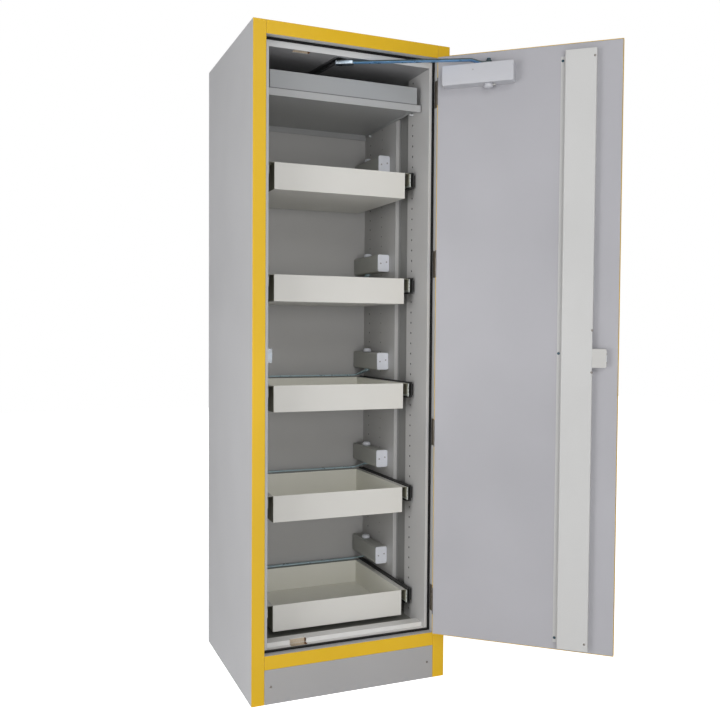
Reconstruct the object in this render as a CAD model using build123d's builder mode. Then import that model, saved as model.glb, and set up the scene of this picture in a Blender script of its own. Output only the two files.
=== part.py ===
"""Fire-resistant single-door safety storage cabinet with five self-closing drawers.

Frame: X to the right, Y to the back, Z up, in millimetres. The origin is the centre of the
cabinet's footprint on the floor. The door stands open and the drawers are pushed in.
"""
import math
import os

from build123d import *

os.makedirs("parts", exist_ok=True)

# ---- driving dimensions: the body -------------------------------------------------------
cabinet_width = 620.0
cabinet_depth = 558.0
cabinet_height = 1950.0
sheet = 1.5                     # steel sheet of casing, liners, pans and trays
seam = 0.3                      # hairline between parts that are screwed side by side
fit_gap = 0.5                   # between parts that slide past each other
cut_past = 1.0                  # how far a cut runs out beyond the material
round_sides = 12                # sides of small rounds that nothing turns in

post_width = 38.5               # yellow front frame
top_rail_height = 38.5
bottom_rail_height = 40.5
plinth_height = 101.5
frame_return = 20.0             # folded-back flange of posts and rails
side_return = 20.0              # folded-in flange of the side panels at the back

stop_depth = 28.0               # from the front face back to the door stop
stop_width_side = 16.0
stop_width_top = 25.0
stop_width_bottom = 7.0
seal_width = 7.0
seal_depth = 7.0
seal_lip_radius = 2.5
plinth_screw_x = 252.0
plinth_screw_z = 51.0
plinth_screw_radius = 3.5
plinth_screw_height = 1.2

# ---- driving dimensions: the inner lining -----------------------------------------------
liner_back_y = 240.0            # inner face of the back liner
liner_rear_x = 250.0            # inner face of the side liner, rear stretch
groove_front_y = -104.0         # the side liner steps out between these two lines
groove_back_y = -25.0
groove_depth = 13.5
hole_radius = 2.5
hole_sides = 6
hole_count = 52
hole_front_y = -137.0
hole_rear_y = 190.0
hole_above_floor = 28.2         # the lowest hole
hole_below_ceiling = 16.1       # the highest hole
board_gap = 1.0                 # between a liner and the board behind it
base_sheet = 2.0

lip_y = -232.0                  # front face of the box lip that stands up from the sill
lip_height = 13.0
lip_depth = 39.0
pocket_width = 51.0             # notch for the lower lock rod
pocket_wall = 2.0
pocket_sink = 8.0               # depth of a rod's pocket behind its sheet
notch_reach = 9.0               # how far the notch cuts into the lip's top
ceiling_slot_depth = 23.0       # slot for the upper lock rod

# ---- driving dimensions: shelf at the top -----------------------------------------------
shelf_front_y = -205.0
shelf_back_y = 235.0
shelf_hole = 48                 # the hole that carries the shelf, counted from the lowest as 0
shelf_fold = 21.0
shelf_side_fold = 9.2
shelf_side_gap = 1.0
top_tray_half_width = 238.5
top_tray_front_y = -202.0
top_tray_back_y = 226.0
top_tray_height = 54.0
stud_radius = 4.0
stud_length = 6.0               # how far a stud reaches under the shelf

# ---- driving dimensions: the door -------------------------------------------------------
door_gap = 2.0
door_thickness = 20.0
door_pan_sheet = 1.5
door_open_angle = 138.25        # degrees from shut, as it stands here
hinge_axis_proud = 0.5          # hinge pin stands this far in front of the face
hinge_height = 82.0
hinge_leaf_depth = 23.0
hinge_end_distance = 105.75     # middle of the outermost hinges from the opening's end
hinge_count = 4
knuckle_radius = 3.5
pin_radius = 1.8
pin_clearance = 0.1
knuckle_notch = 4.0

cover_hinge_side = 380.0        # lock cover, measured from the door's hinge edge
cover_width = 88.0
cover_depth = 26.0
cover_flange = 14.0
cover_flange_end = 10.0         # the flange stops short of the cover's ends
cover_bend = 2.0
cover_above_floor = 8.0
cover_below_ceiling = 3.5
cover_notch_below = 39.0        # notch in the cover's side, below and above the latch
cover_notch_above = 78.0
rod_radius = 4.0
rod_stroke = 12.0
rod_inset = 8.5                 # rod's centre line behind the cover's face
latch_z = 1006.0
latch_case_height = 54.0
latch_case_start = 392.0        # from the door's hinge edge, as the next one
latch_case_end = 507.0
latch_case_depth = 24.0
latch_case_corner = 6.0
bolt_height = 17.0
bolt_thickness = 7.0
bolt_length = 38.0
bolt_tip = 1.0                  # how far the drawn-back bolt still shows
bolt_setback = 13.4             # bolt's near face above the door's inner face
bolt_chamfer = 4.0
keeper_height = 41.0
keeper_reach = 12.5
keeper_thickness = 3.2
keeper_leg = 24.0
keeper_leg_thickness = 2.0

handle_plate_width = 38.0
handle_plate_below = 99.2       # from the latch's height down and up
handle_plate_above = 60.8
handle_plate_depth = 9.0
handle_length = 125.0
handle_bar_height = 18.0
handle_bar_thickness = 13.0
handle_bar_corner = 6.0
handle_standoff = 42.0
spindle_radius = 9.0

# ---- driving dimensions: closers --------------------------------------------------------
closer_length = 212.0
closer_height = 58.0
closer_depth = 41.0
closer_corner = 3.0
closer_shaft_offset = 136.0     # from one end of the closer to its shaft
knob_radius = 14.0
knob_height = 13.0
shaft_radius = 7.0
shaft_depth = 13.0              # how far an arm's shaft goes into its closer
bore_depth = 15.0
door_closer_start = 24.0        # from the door's hinge edge
arm_below_ceiling = 9.5         # underside of the door closer's arm
closer_below_arm = 10.0
arm_thickness = 5.0
arm_width = 22.0
arm_hub_radius = 14.0
arm_boss_radius = 12.0
arm_boss_height = 5.0
arm_hub_proud = 2.0             # the shaft's head stands above the arm
arm_clip_length = 46.0          # clip on the arm's end, over the slider
arm_clip_width = 24.0
arm_clip_thickness = 2.5
track_front = (-30.0, -238.0)   # ceiling slot's centre line starts here
track_angle = 97.5              # its direction, degrees from +X
track_length = 440.0
track_width = 36.0
track_height = 14.0
track_wall = 2.0
track_mouth = 20.0
slider_length = 44.0
slider_width = 26.0
slider_height = 8.0
slider_corner = 3.0
slider_from_front = 30.0        # slider's place on the centre line with the door open
slider_pin_radius = 4.0

# ---- driving dimensions: drawers --------------------------------------------------------
drawer_count = 5
drawer_above_floor = 101.0      # rim of the lowest drawer
drawer_holes = 10               # a drawer's spacing in holes
drawer_half_width = 214.0
drawer_front_y = -170.0
drawer_back_y = 214.0
drawer_height = 80.0
tray_flange = 16.5              # outward fold along each side of the tray
tray_flange_drop = 36.0
runner_length = 400.0
runner_above_tray = 3.0
runner_height = 50.0
runner_depth = 16.0
runner_sheet = 2.0
middle_sheet = 1.8
inner_thickness = 5.0
inner_height = 25.0
race_thickness = 3.0            # ball races above and below the inner member
race_gap = 0.3
runner_bracket_height = 36.0
runner_bracket_length = 40.0
runner_bracket_rear_y = 170.0
runner_setback = 2.0            # runner's front end behind the drawer's front
middle_setback = 1.0            # lips of the middle member behind those of the fixed one
closer_above_tray = 34.0
closer_back_gap = 4.0           # between a drawer closer and the back liner
closer_cap = 4.0
hub_drop = 8.0                  # arm's hub below the drawer closer
hub_height = 7.5
hub_radius = 9.0
drawer_arm_above_tray = 4.6
drawer_arm_thickness = 4.0
drawer_arm_width = 16.0
drawer_arm_y = 222.0
drawer_arm_tip_x = -171.0
drawer_arm_bend_x = 211.0
guide_depth = 15.0
guide_height = 14.0
guide_half_length = 190.0
roller_radius = 6.0

# ---- places that follow from them -------------------------------------------------------
half_width = cabinet_width / 2
front_y = -cabinet_depth / 2
back_y = cabinet_depth / 2
opening_half = half_width - post_width
opening_bottom = plinth_height + bottom_rail_height
opening_top = cabinet_height - top_rail_height
opening_height = opening_top - opening_bottom
stop_y = front_y + stop_depth
liner_front_x = opening_half - stop_width_side
liner_front_y = stop_y + sheet
groove_x = liner_front_x + groove_depth
floor_z = opening_bottom + stop_width_bottom
ceiling_z = opening_top - stop_width_top
lining_height = ceiling_z - floor_z
lining_middle_z = (floor_z + ceiling_z) / 2
board_x = groove_x + sheet + board_gap

hinge_x = opening_half
hinge_y = front_y - hinge_axis_proud
hinge_pitch = (opening_height - 2 * hinge_end_distance) / (hinge_count - 1)
hinge_zs = [opening_bottom + hinge_end_distance + i * hinge_pitch for i in range(hinge_count)]
door_edge = -door_gap                          # hinge edge of the door in the door's own frame
door_face = hinge_axis_proud                   # its outer face
door_inner = door_face + door_thickness        # its inner face
door_width = 2 * opening_half - 2 * door_gap
door_bottom = opening_bottom + door_gap
door_height = opening_height - 2 * door_gap
cover_bottom_z = floor_z + cover_above_floor
cover_top_z = ceiling_z - cover_below_ceiling

hole_first_z = floor_z + hole_above_floor
hole_pitch = (lining_height - hole_above_floor - hole_below_ceiling) / (hole_count - 1)
stud_z = hole_first_z + shelf_hole * hole_pitch
shelf_top_z = stud_z + stud_radius + shelf_side_fold
drawer_tops = [floor_z + drawer_above_floor + i * drawer_holes * hole_pitch for i in range(drawer_count)]
closer_front_y = liner_back_y - closer_back_gap - closer_length
arm_pivot = (liner_rear_x - closer_depth / 2, closer_front_y + closer_shaft_offset)
arm_z = ceiling_z - arm_below_ceiling
door_closer_bottom_z = arm_z - closer_below_arm - closer_height


def hinge_frame(angle):
    """The door's own frame: origin on the hinge line, x across the shut door, y inwards."""
    turn = math.radians(angle)
    return Plane(origin=(hinge_x, hinge_y, 0), x_dir=(math.cos(turn), math.sin(turn), 0), z_dir=(0, 0, 1))


door = hinge_frame(door_open_angle)


def door_face_plane(y):
    """Sketch plane parallel to the door's faces: across the door and up, facing outwards."""
    return Plane(origin=door.from_local_coords(Vector(0, y, 0)), x_dir=door.x_dir, z_dir=-door.y_dir)


def door_end_plane(x):
    """Sketch plane square to the door's width: inwards and up."""
    return Plane(origin=door.from_local_coords(Vector(x, 0, 0)), x_dir=door.y_dir, z_dir=door.x_dir)


def block(x, y, z):
    """A box between two limits on each axis, added to the part being built."""
    with Locations((sum(x) / 2, sum(y) / 2, sum(z) / 2)):
        return Box(x[1] - x[0], y[1] - y[0], z[1] - z[0])


def cut_block(x, y, z):
    with Locations((sum(x) / 2, sum(y) / 2, sum(z) / 2)):
        return Box(x[1] - x[0], y[1] - y[0], z[1] - z[0], mode=Mode.SUBTRACT)


def round_bar(place, radius, length):
    """A round pin or shaft that something turns on, standing on the given point."""
    with Locations(place):
        return Cylinder(radius, length, align=(Align.CENTER, Align.CENTER, Align.MIN))


def disc(plane, radius, height, mode=Mode.ADD):
    """A small round that nothing turns in, as a prism with few sides, standing on a plane."""
    with BuildSketch(plane) as outline:
        RegularPolygon(radius, round_sides, major_radius=False, rotation=180 / round_sides)
    return extrude(outline.sketch, amount=height, mode=mode)


def folded(points, side, thickness=sheet):
    """The outline of a sheet folded along the given points, as a face in the sketch."""
    with BuildLine() as outline:
        Polyline(*points)
        offset(amount=thickness, side=side, closed=True)
    make_face(outline.edges())


def finish(piece, label):
    piece.part.label = label
    export_step(piece.part, f"parts/{label}.step")


# ---- casing: side panels, back, roof, base ----------------------------------------------
def side_panel(hand):
    """Outer side sheet with its flange folded in across the back."""
    outer = hand * half_width
    with BuildPart() as panel:
        with BuildSketch():
            folded(
                [(outer, front_y + sheet), (outer, back_y), (outer - hand * side_return, back_y)],
                Side.RIGHT if hand < 0 else Side.LEFT,
            )
        extrude(amount=cabinet_height)
    return panel


for name, hand in (("left", -1), ("right", 1)):
    finish(side_panel(hand), f"side_panel_{name}")

with BuildPart() as back_panel:
    block(
        (-half_width + sheet + seam, half_width - sheet - seam),
        (back_y - 2 * sheet, back_y - sheet),
        (0, cabinet_height - sheet - seam),
    )
finish(back_panel, "back_panel")

with BuildPart() as roof_panel:
    block(
        (-half_width + sheet + seam, half_width - sheet - seam),
        (front_y + sheet, back_y - sheet),
        (cabinet_height - sheet, cabinet_height),
    )
finish(roof_panel, "roof_panel")

base_half = half_width - 2 * sheet - seam
base_front_y = front_y + sheet + frame_return + seam
base_back_y = back_y - 2 * sheet - seam
with BuildPart() as base_pan:
    block((-base_half, base_half), (base_front_y, base_back_y), (0, plinth_height))
    offset(amount=-base_sheet, openings=base_pan.faces().sort_by(Axis.Z)[-1])
finish(base_pan, "base_pan")


# ---- yellow front frame -----------------------------------------------------------------
def frame_post(hand):
    """Front post: a channel with its two flanges folded back, notched for the hinges."""
    inner = hand * opening_half
    outer = hand * half_width
    with BuildPart() as post:
        block(sorted((inner, outer)), (front_y, front_y + sheet), (0, cabinet_height))
        for x in (inner + 1.5 * hand * sheet, outer - 1.5 * hand * sheet):
            block(
                (x - sheet / 2, x + sheet / 2),
                (front_y + sheet, front_y + sheet + frame_return),
                (0, cabinet_height - sheet),
            )
        if hand > 0:
            for z in hinge_zs:
                cut_block(
                    (inner - cut_past, inner + knuckle_notch),
                    (front_y - cut_past, hinge_y + knuckle_notch),
                    (z - hinge_height / 2 - seam, z + hinge_height / 2 + seam),
                )
    return post


for name, hand in (("left", -1), ("right", 1)):
    finish(frame_post(hand), f"frame_post_{name}")


def frame_rail(low, high):
    """Cross rail between the posts: a channel with its two flanges folded back."""
    span = (-opening_half + seam, opening_half - seam)
    with BuildPart() as rail:
        block(span, (front_y, front_y + sheet), (low, high))
        for z in (low + sheet, high - 2 * sheet):
            block(span, (front_y + sheet, front_y + sheet + frame_return), (z, z + sheet))
    return rail


finish(frame_rail(opening_top, cabinet_height), "frame_top_rail")
finish(frame_rail(plinth_height, opening_bottom), "frame_bottom_rail")

with BuildPart() as plinth_panel:
    block(
        (-opening_half + seam, opening_half - seam),
        (front_y + seam, front_y + seam + sheet),
        (0, plinth_height - seam),
    )
finish(plinth_panel, "plinth_panel")

with BuildPart() as plinth_screws:
    for x in (-plinth_screw_x, plinth_screw_x):
        screw_plane = Plane(origin=(x, front_y + seam, plinth_screw_z), x_dir=(1, 0, 0), z_dir=(0, -1, 0))
        disc(screw_plane, plinth_screw_radius, plinth_screw_height)
finish(plinth_screws, "plinth_screws")

# ---- grey door stop, seal and lining ----------------------------------------------------
with BuildPart() as door_stop_frame:
    with BuildSketch(Plane.XZ.offset(-(stop_y + sheet))):
        with Locations((0, (opening_bottom + opening_top) / 2)):
            Rectangle(2 * opening_half + 2 * sheet, opening_height + 2 * sheet)
            Rectangle(2 * opening_half, opening_height, mode=Mode.SUBTRACT)
    extrude(amount=stop_depth - seam)
    with BuildSketch(Plane.XZ.offset(-(stop_y + sheet))):
        with Locations((0, (opening_bottom + opening_top) / 2)):
            Rectangle(2 * opening_half, opening_height)
        with Locations((0, lining_middle_z)):
            Rectangle(2 * liner_front_x, lining_height, mode=Mode.SUBTRACT)
    extrude(amount=sheet)
    for z in hinge_zs:
        cut_block(
            (opening_half - cut_past, opening_half + sheet + cut_past),
            (front_y, front_y + sheet + hinge_leaf_depth + seam),
            (z - hinge_height / 2 - seam, z + hinge_height / 2 + seam),
        )
finish(door_stop_frame, "door_stop_frame")

with BuildPart() as door_seal:
    with BuildSketch(Plane.XZ.offset(-stop_y)):
        with Locations((0, (opening_bottom + opening_top) / 2)):
            Rectangle(2 * opening_half - 2 * seam, opening_height - 2 * seam)
            Rectangle(2 * (opening_half - seal_width), opening_height - 2 * seal_width, mode=Mode.SUBTRACT)
    extrude(amount=seal_depth)
    inner_edges = door_seal.faces().sort_by(Axis.Y)[0].inner_wires().edges()
    fillet(inner_edges, radius=seal_lip_radius)
finish(door_seal, "door_seal")


def side_liner(hand):
    """Inner side sheet, folded out into an upright groove and punched with a row of holes."""
    front, rear, groove = hand * liner_front_x, hand * liner_rear_x, hand * groove_x
    with BuildPart() as liner:
        with BuildSketch(Plane.XY.offset(floor_z)):
            folded(
                [
                    (front, liner_front_y),
                    (front, groove_front_y),
                    (groove, groove_front_y),
                    (groove, groove_back_y),
                    (rear, groove_back_y),
                    (rear, liner_back_y),
                ],
                Side.RIGHT if hand > 0 else Side.LEFT,
            )
        extrude(amount=lining_height)
        with BuildSketch(Plane.YZ.offset(front)):
            with Locations((hole_front_y, hole_first_z + (hole_count - 1) * hole_pitch / 2)):
                with GridLocations(0, hole_pitch, 1, hole_count):
                    RegularPolygon(hole_radius, hole_sides, major_radius=False, rotation=180 / hole_sides)
        extrude(amount=hand * sheet, mode=Mode.SUBTRACT)
    return liner


for name, hand in (("left", -1), ("right", 1)):
    finish(side_liner(hand), f"liner_{name}")

with BuildPart() as back_liner:
    block((-board_x, board_x), (liner_back_y, liner_back_y + sheet), (floor_z, ceiling_z))
finish(back_liner, "liner_back")

# ceiling, with the closer's slot and the hole for the upper lock rod
rod_x = -(cover_hinge_side + cover_width / 2) - door_gap + hinge_x
rod_y = hinge_y + door_inner + cover_depth - rod_inset
track_direction = Vector(math.cos(math.radians(track_angle)), math.sin(math.radians(track_angle)), 0)
track_plane = Plane(origin=(*track_front, ceiling_z), x_dir=track_direction, z_dir=(0, 0, 1))
slot_x = (rod_x - pocket_width / 2, rod_x + pocket_width / 2)
with BuildPart() as ceiling_panel:
    block((-board_x, board_x), (liner_front_y, liner_back_y), (ceiling_z, ceiling_z + sheet))
    with BuildSketch(track_plane):
        with Locations((track_length / 2, 0)):
            Rectangle(track_length + 2 * seam, track_width + 2 * seam)
    extrude(amount=sheet, mode=Mode.SUBTRACT)
    cut_block(
        slot_x,
        (liner_front_y + sheet, liner_front_y + ceiling_slot_depth),
        (ceiling_z - cut_past, ceiling_z + sheet + cut_past),
    )
finish(ceiling_panel, "ceiling_panel")

track_section = Plane(origin=track_plane.origin, x_dir=track_plane.y_dir, z_dir=track_direction)
with BuildPart() as closer_track:
    with BuildSketch(track_section):
        with Locations((0, track_height / 2)):
            Rectangle(track_width, track_height)
            Rectangle(track_width - 2 * track_wall, track_height - 2 * track_wall, mode=Mode.SUBTRACT)
        with Locations((0, track_wall / 2)):
            Rectangle(track_mouth, track_wall + cut_past, mode=Mode.SUBTRACT)
    extrude(amount=track_length)
finish(closer_track, "closer_track")

# floor with its box lip; the notch and the slot let the lower lock rod in
lip_top_z = floor_z + lip_height
notch_back_y = lip_y + notch_reach
with BuildPart() as floor_panel:
    block((-board_x, board_x), (liner_front_y, liner_back_y), (floor_z - sheet, floor_z))
    with BuildSketch(Plane.YZ.offset(seam - liner_front_x)):
        folded(
            [
                (lip_y, floor_z),
                (lip_y, lip_top_z),
                (lip_y + lip_depth, lip_top_z),
                (lip_y + lip_depth, floor_z),
            ],
            Side.RIGHT,
        )
    extrude(amount=2 * (liner_front_x - seam))
    slot_z = (floor_z - sheet - cut_past, lip_top_z + cut_past)
    cut_block(slot_x, (liner_front_y + sheet, notch_back_y), slot_z)
finish(floor_panel, "floor_panel")


def rod_pocket(y, z, mouth):
    """Open box that takes the tip of a lock rod; the mouth is its top face (-1) or bottom face (0)."""
    with BuildPart() as pocket:
        block((slot_x[0] - pocket_wall, slot_x[1] + pocket_wall), y, z)
        offset(amount=-pocket_wall, openings=pocket.faces().sort_by(Axis.Z)[mouth])
    return pocket.part


pocket_front_y = liner_front_y + seam
with BuildPart() as strike_pockets:
    add(
        rod_pocket(
            (pocket_front_y, liner_front_y + ceiling_slot_depth + pocket_wall),
            (ceiling_z + sheet, ceiling_z + sheet + rod_stroke + pocket_sink),
            0,
        )
    )
    add(
        rod_pocket(
            (pocket_front_y, notch_back_y + pocket_wall),
            (floor_z - sheet - pocket_sink, floor_z - sheet),
            -1,
        )
    )
    block(slot_x, (notch_back_y, notch_back_y + pocket_wall), (floor_z, lip_top_z - sheet))
finish(strike_pockets, "strike_pockets")

# ---- insulating boards between casing and lining ----------------------------------------
board_top = cabinet_height - sheet - seam
board_front_y = liner_front_y + seam
board_back_y = back_y - 2 * sheet - seam
side_board_x = (board_x + seam, half_width - 2 * sheet - seam)
with BuildPart() as insulation_boards:
    for hand in (-1, 1):
        block(
            sorted((hand * side_board_x[0], hand * side_board_x[1])),
            (board_front_y, board_back_y),
            (plinth_height + seam, board_top),
        )
    block((-board_x, board_x), (liner_back_y + sheet + seam, board_back_y), (plinth_height + seam, board_top))
    block(
        (-board_x, board_x),
        (liner_front_y + ceiling_slot_depth + pocket_wall + seam, liner_back_y + sheet),
        (ceiling_z + sheet + track_height + board_gap, board_top),
    )
    block(
        (-board_x, board_x),
        (notch_back_y + pocket_wall + seam, liner_back_y + sheet),
        (plinth_height + seam, floor_z - sheet - seam),
    )
finish(insulation_boards, "insulation_boards")

# ---- shelf and the flat tray on it ------------------------------------------------------
shelf_half = liner_rear_x - shelf_side_gap
with BuildPart() as top_shelf:
    with BuildSketch(Plane.YZ.offset(-shelf_half)):
        folded(
            [
                (shelf_front_y, shelf_top_z - shelf_fold),
                (shelf_front_y, shelf_top_z),
                (shelf_back_y, shelf_top_z),
                (shelf_back_y, shelf_top_z - shelf_fold),
            ],
            Side.RIGHT,
        )
    extrude(amount=2 * shelf_half)
    for hand in (-1, 1):
        block(
            sorted((hand * shelf_half, hand * (shelf_half - sheet))),
            (shelf_front_y, shelf_back_y),
            (shelf_top_z - shelf_side_fold, shelf_top_z),
        )
finish(top_shelf, "top_shelf")

with BuildPart() as shelf_tray:
    block(
        (-top_tray_half_width, top_tray_half_width),
        (top_tray_front_y, top_tray_back_y),
        (shelf_top_z, shelf_top_z + top_tray_height),
    )
    offset(amount=-sheet, openings=shelf_tray.faces().sort_by(Axis.Z)[-1])
finish(shelf_tray, "shelf_tray")

with BuildPart() as shelf_studs:
    for hand in (-1, 1):
        for y, wall in ((hole_front_y, liner_front_x), (hole_rear_y, liner_rear_x)):
            stud_plane = Plane(origin=(hand * wall, y, stud_z), x_dir=(0, 0, 1), z_dir=(-hand, 0, 0))
            disc(stud_plane, stud_radius, wall - shelf_half + stud_length)
finish(shelf_studs, "shelf_studs")


# ---- hinges -----------------------------------------------------------------------------
hinge_third = hinge_height / 3
hinge_base = Plane(origin=(hinge_x, hinge_y, 0))


def knuckle(plane, z):
    """One of a hinge's three knuckles, centred at the given height on the hinge line."""
    disc(plane.offset(z - (hinge_third - seam) / 2), knuckle_radius, hinge_third - seam)


def third(z):
    return (z - (hinge_third - seam) / 2, z + (hinge_third - seam) / 2)


with BuildPart(hinge_base) as hinge_frame_leaves:
    for z in hinge_zs:
        block((0, sheet), (knuckle_notch, hinge_leaf_depth), (z - hinge_height / 2, z + hinge_height / 2))
        for middle in (z - hinge_third, z + hinge_third):
            knuckle(hinge_base, middle)
            block((0, sheet), (0, knuckle_notch), third(middle))
        round_bar((0, 0, z - hinge_third / 2 - seam), pin_radius, hinge_third + 2 * seam)
finish(hinge_frame_leaves, "hinge_frame_leaves")

door_leaf_end = door_inner - sheet - seam
with BuildPart(door) as hinge_door_leaves:
    for z in hinge_zs:
        block(
            (door_edge - sheet, door_edge),
            (knuckle_notch, door_leaf_end),
            (z - hinge_height / 2, z + hinge_height / 2),
        )
        knuckle(door, z)
        block((door_edge - sheet, door_edge), (0, knuckle_notch), third(z))
        with Locations((0, 0, z)):
            Cylinder(pin_radius + pin_clearance, hinge_third, mode=Mode.SUBTRACT)
finish(hinge_door_leaves, "hinge_door_leaves")

# ---- door leaf --------------------------------------------------------------------------
inwards = Axis(door.origin, door.y_dir)
door_span = (door_edge - door_width, door_edge)
door_zs = (door_bottom, door_bottom + door_height)


def inset(limits, by):
    return (limits[0] + by, limits[1] - by)


def across(distance):
    """Door-frame x of a point given by its distance from the door's hinge edge."""
    return door_edge - distance


with BuildPart(door) as door_outer_pan:
    block(door_span, (door_face, door_inner), door_zs)
    offset(amount=-door_pan_sheet, openings=door_outer_pan.faces().sort_by(inwards)[-1])
    for z in hinge_zs:
        reach = (z - hinge_height / 2 - seam, z + hinge_height / 2 + seam)
        cut_block((door_edge - knuckle_notch, door_edge + cut_past), (0, knuckle_notch), reach)
        cut_block((door_edge - sheet, door_edge + cut_past), (door_face, door_inner - sheet), reach)
finish(door_outer_pan, "door_outer_pan")

skin = door_pan_sheet + seam
with BuildPart(door) as door_inner_panel:
    block(inset(door_span, skin), (door_inner - sheet, door_inner), inset(door_zs, skin))
finish(door_inner_panel, "door_inner_panel")

with BuildPart(door) as door_core:
    block(
        inset(door_span, skin + knuckle_notch),
        (door_face + door_pan_sheet, door_inner - sheet - seam),
        inset(door_zs, skin),
    )
finish(door_core, "door_core")

# ---- three-point lock: cover, case, bolt and rods ---------------------------------------
cover_end = cover_hinge_side + cover_width
rod_local = (across(cover_hinge_side + cover_width / 2), door_inner + cover_depth - rod_inset)
with BuildPart(door) as lock_cover:
    block(
        (across(cover_end), across(cover_hinge_side)),
        (door_inner, door_inner + cover_depth),
        (cover_bottom_z, cover_top_z),
    )
    chamfer(lock_cover.edges().filter_by(Axis.Z).group_by(inwards)[-1], length=cover_bend)
    offset(amount=-sheet, openings=lock_cover.faces().sort_by(inwards)[0])
    block(
        (across(cover_hinge_side), across(cover_hinge_side - cover_flange)),
        (door_inner, door_inner + sheet),
        inset((cover_bottom_z, cover_top_z), cover_flange_end),
    )
    cut_block(
        (across(cover_end + cut_past), across(cover_end - sheet - seam)),
        (door_inner - cut_past, door_inner + cover_depth - sheet),
        (latch_z - cover_notch_below, latch_z + cover_notch_above),
    )
    rod_line = Plane(origin=door.from_local_coords(Vector(*rod_local, 0)), z_dir=(0, 0, 1))
    disc(
        rod_line.offset(cover_bottom_z - cut_past),
        rod_radius + fit_gap,
        cover_top_z - cover_bottom_z + 2 * cut_past,
        Mode.SUBTRACT,
    )
finish(lock_cover, "lock_cover")

bolt_y = (door_inner + bolt_setback, door_inner + bolt_setback + bolt_thickness)
bolt_z = (latch_z - bolt_height / 2, latch_z + bolt_height / 2)
bolt_start = latch_case_end + bolt_tip - bolt_length
with BuildPart(door) as latch_case:
    block(
        (across(latch_case_end), across(latch_case_start)),
        (door_inner, door_inner + latch_case_depth),
        (latch_z - latch_case_height / 2, latch_z + latch_case_height / 2),
    )
    free_end = latch_case.edges().filter_by(inwards).group_by(Axis(door.origin, door.x_dir))[0]
    fillet(free_end, radius=latch_case_corner)
    cut_block(
        (across(latch_case_end + cut_past), across(bolt_start - rod_stroke)),
        (bolt_y[0] - fit_gap, bolt_y[1] + fit_gap),
        (bolt_z[0] - fit_gap, bolt_z[1] + fit_gap),
    )
finish(latch_case, "latch_case")

with BuildPart(door) as latch_bolt:
    block((across(latch_case_end + bolt_tip), across(bolt_start)), bolt_y, bolt_z)
    nose = latch_bolt.edges().filter_by(Axis.Z).group_by(Axis(door.origin, door.x_dir))[0].sort_by(inwards)[0]
    chamfer(nose, length=bolt_chamfer)
finish(latch_bolt, "latch_bolt")

case_half = latch_case_height / 2 + fit_gap
with BuildPart(door) as lock_rod_top:
    round_bar((*rod_local, latch_z + case_half), rod_radius, cover_top_z + bolt_tip - latch_z - case_half)
finish(lock_rod_top, "lock_rod_top")

with BuildPart(door) as lock_rod_bottom:
    rod_low = cover_bottom_z - bolt_tip
    round_bar((*rod_local, rod_low), rod_radius, latch_z - case_half - rod_low)
finish(lock_rod_bottom, "lock_rod_bottom")

with BuildPart() as latch_keeper:
    keeper_zs = (latch_z - keeper_height / 2, latch_z + keeper_height / 2)
    keeper_x = -liner_front_x
    block((keeper_x, keeper_x + keeper_reach), (liner_front_y, liner_front_y + keeper_thickness), keeper_zs)
    block((keeper_x, keeper_x + keeper_leg_thickness), (liner_front_y, liner_front_y + keeper_leg), keeper_zs)
finish(latch_keeper, "latch_keeper")

# ---- handle on the outer face -----------------------------------------------------------
handle_x = rod_local[0]
with BuildPart(door) as handle_plate:
    block(
        (handle_x - handle_plate_width / 2, handle_x + handle_plate_width / 2),
        (door_face - handle_plate_depth, door_face),
        (latch_z - handle_plate_below, latch_z + handle_plate_above),
    )
    fillet(handle_plate.edges().filter_by(inwards), radius=handle_plate_width / 2 - cut_past)
finish(handle_plate, "handle_plate")

with BuildPart() as door_handle:
    lever_y = door_face - handle_standoff
    with BuildSketch(door_face_plane(door_face - handle_plate_depth - fit_gap)):
        with Locations((handle_x, latch_z)):
            Circle(spindle_radius)
    extrude(amount=handle_standoff - handle_plate_depth - fit_gap)
    with BuildSketch(door_end_plane(handle_x)):
        with Locations((lever_y, latch_z)):
            RectangleRounded(handle_bar_thickness, handle_bar_height, handle_bar_corner)
    extrude(amount=handle_length)
finish(door_handle, "door_handle")


# ---- closers: one on the door, one behind each drawer -----------------------------------
door_closer_x = (across(door_closer_start + closer_length), across(door_closer_start))
door_closer_y = (door_inner, door_inner + closer_depth)
door_closer_z = (door_closer_bottom_z, door_closer_bottom_z + closer_height)
shaft_local = (across(door_closer_start + closer_shaft_offset), door_inner + closer_depth / 2)
shaft_world = (door.location * Location((*shaft_local, 0))).position
shaft_line = Plane(origin=shaft_world, z_dir=(0, 0, 1))
slider_world = track_plane.from_local_coords(Vector(slider_from_front, 0, 0))
with BuildPart(door) as door_closer_body:
    block(door_closer_x, door_closer_y, door_closer_z)
    chamfer(door_closer_body.edges().filter_by(Axis(door.origin, door.x_dir)), length=closer_corner)
    bore_plane = shaft_line.offset(door_closer_z[1] - bore_depth)
    disc(bore_plane, shaft_radius + pin_clearance, bore_depth + cut_past, Mode.SUBTRACT)
finish(door_closer_body, "door_closer_body")

with BuildPart() as door_closer_knob:
    disc(shaft_line.offset(door_closer_z[0] - knob_height), knob_radius, knob_height)
finish(door_closer_knob, "door_closer_knob")

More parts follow.
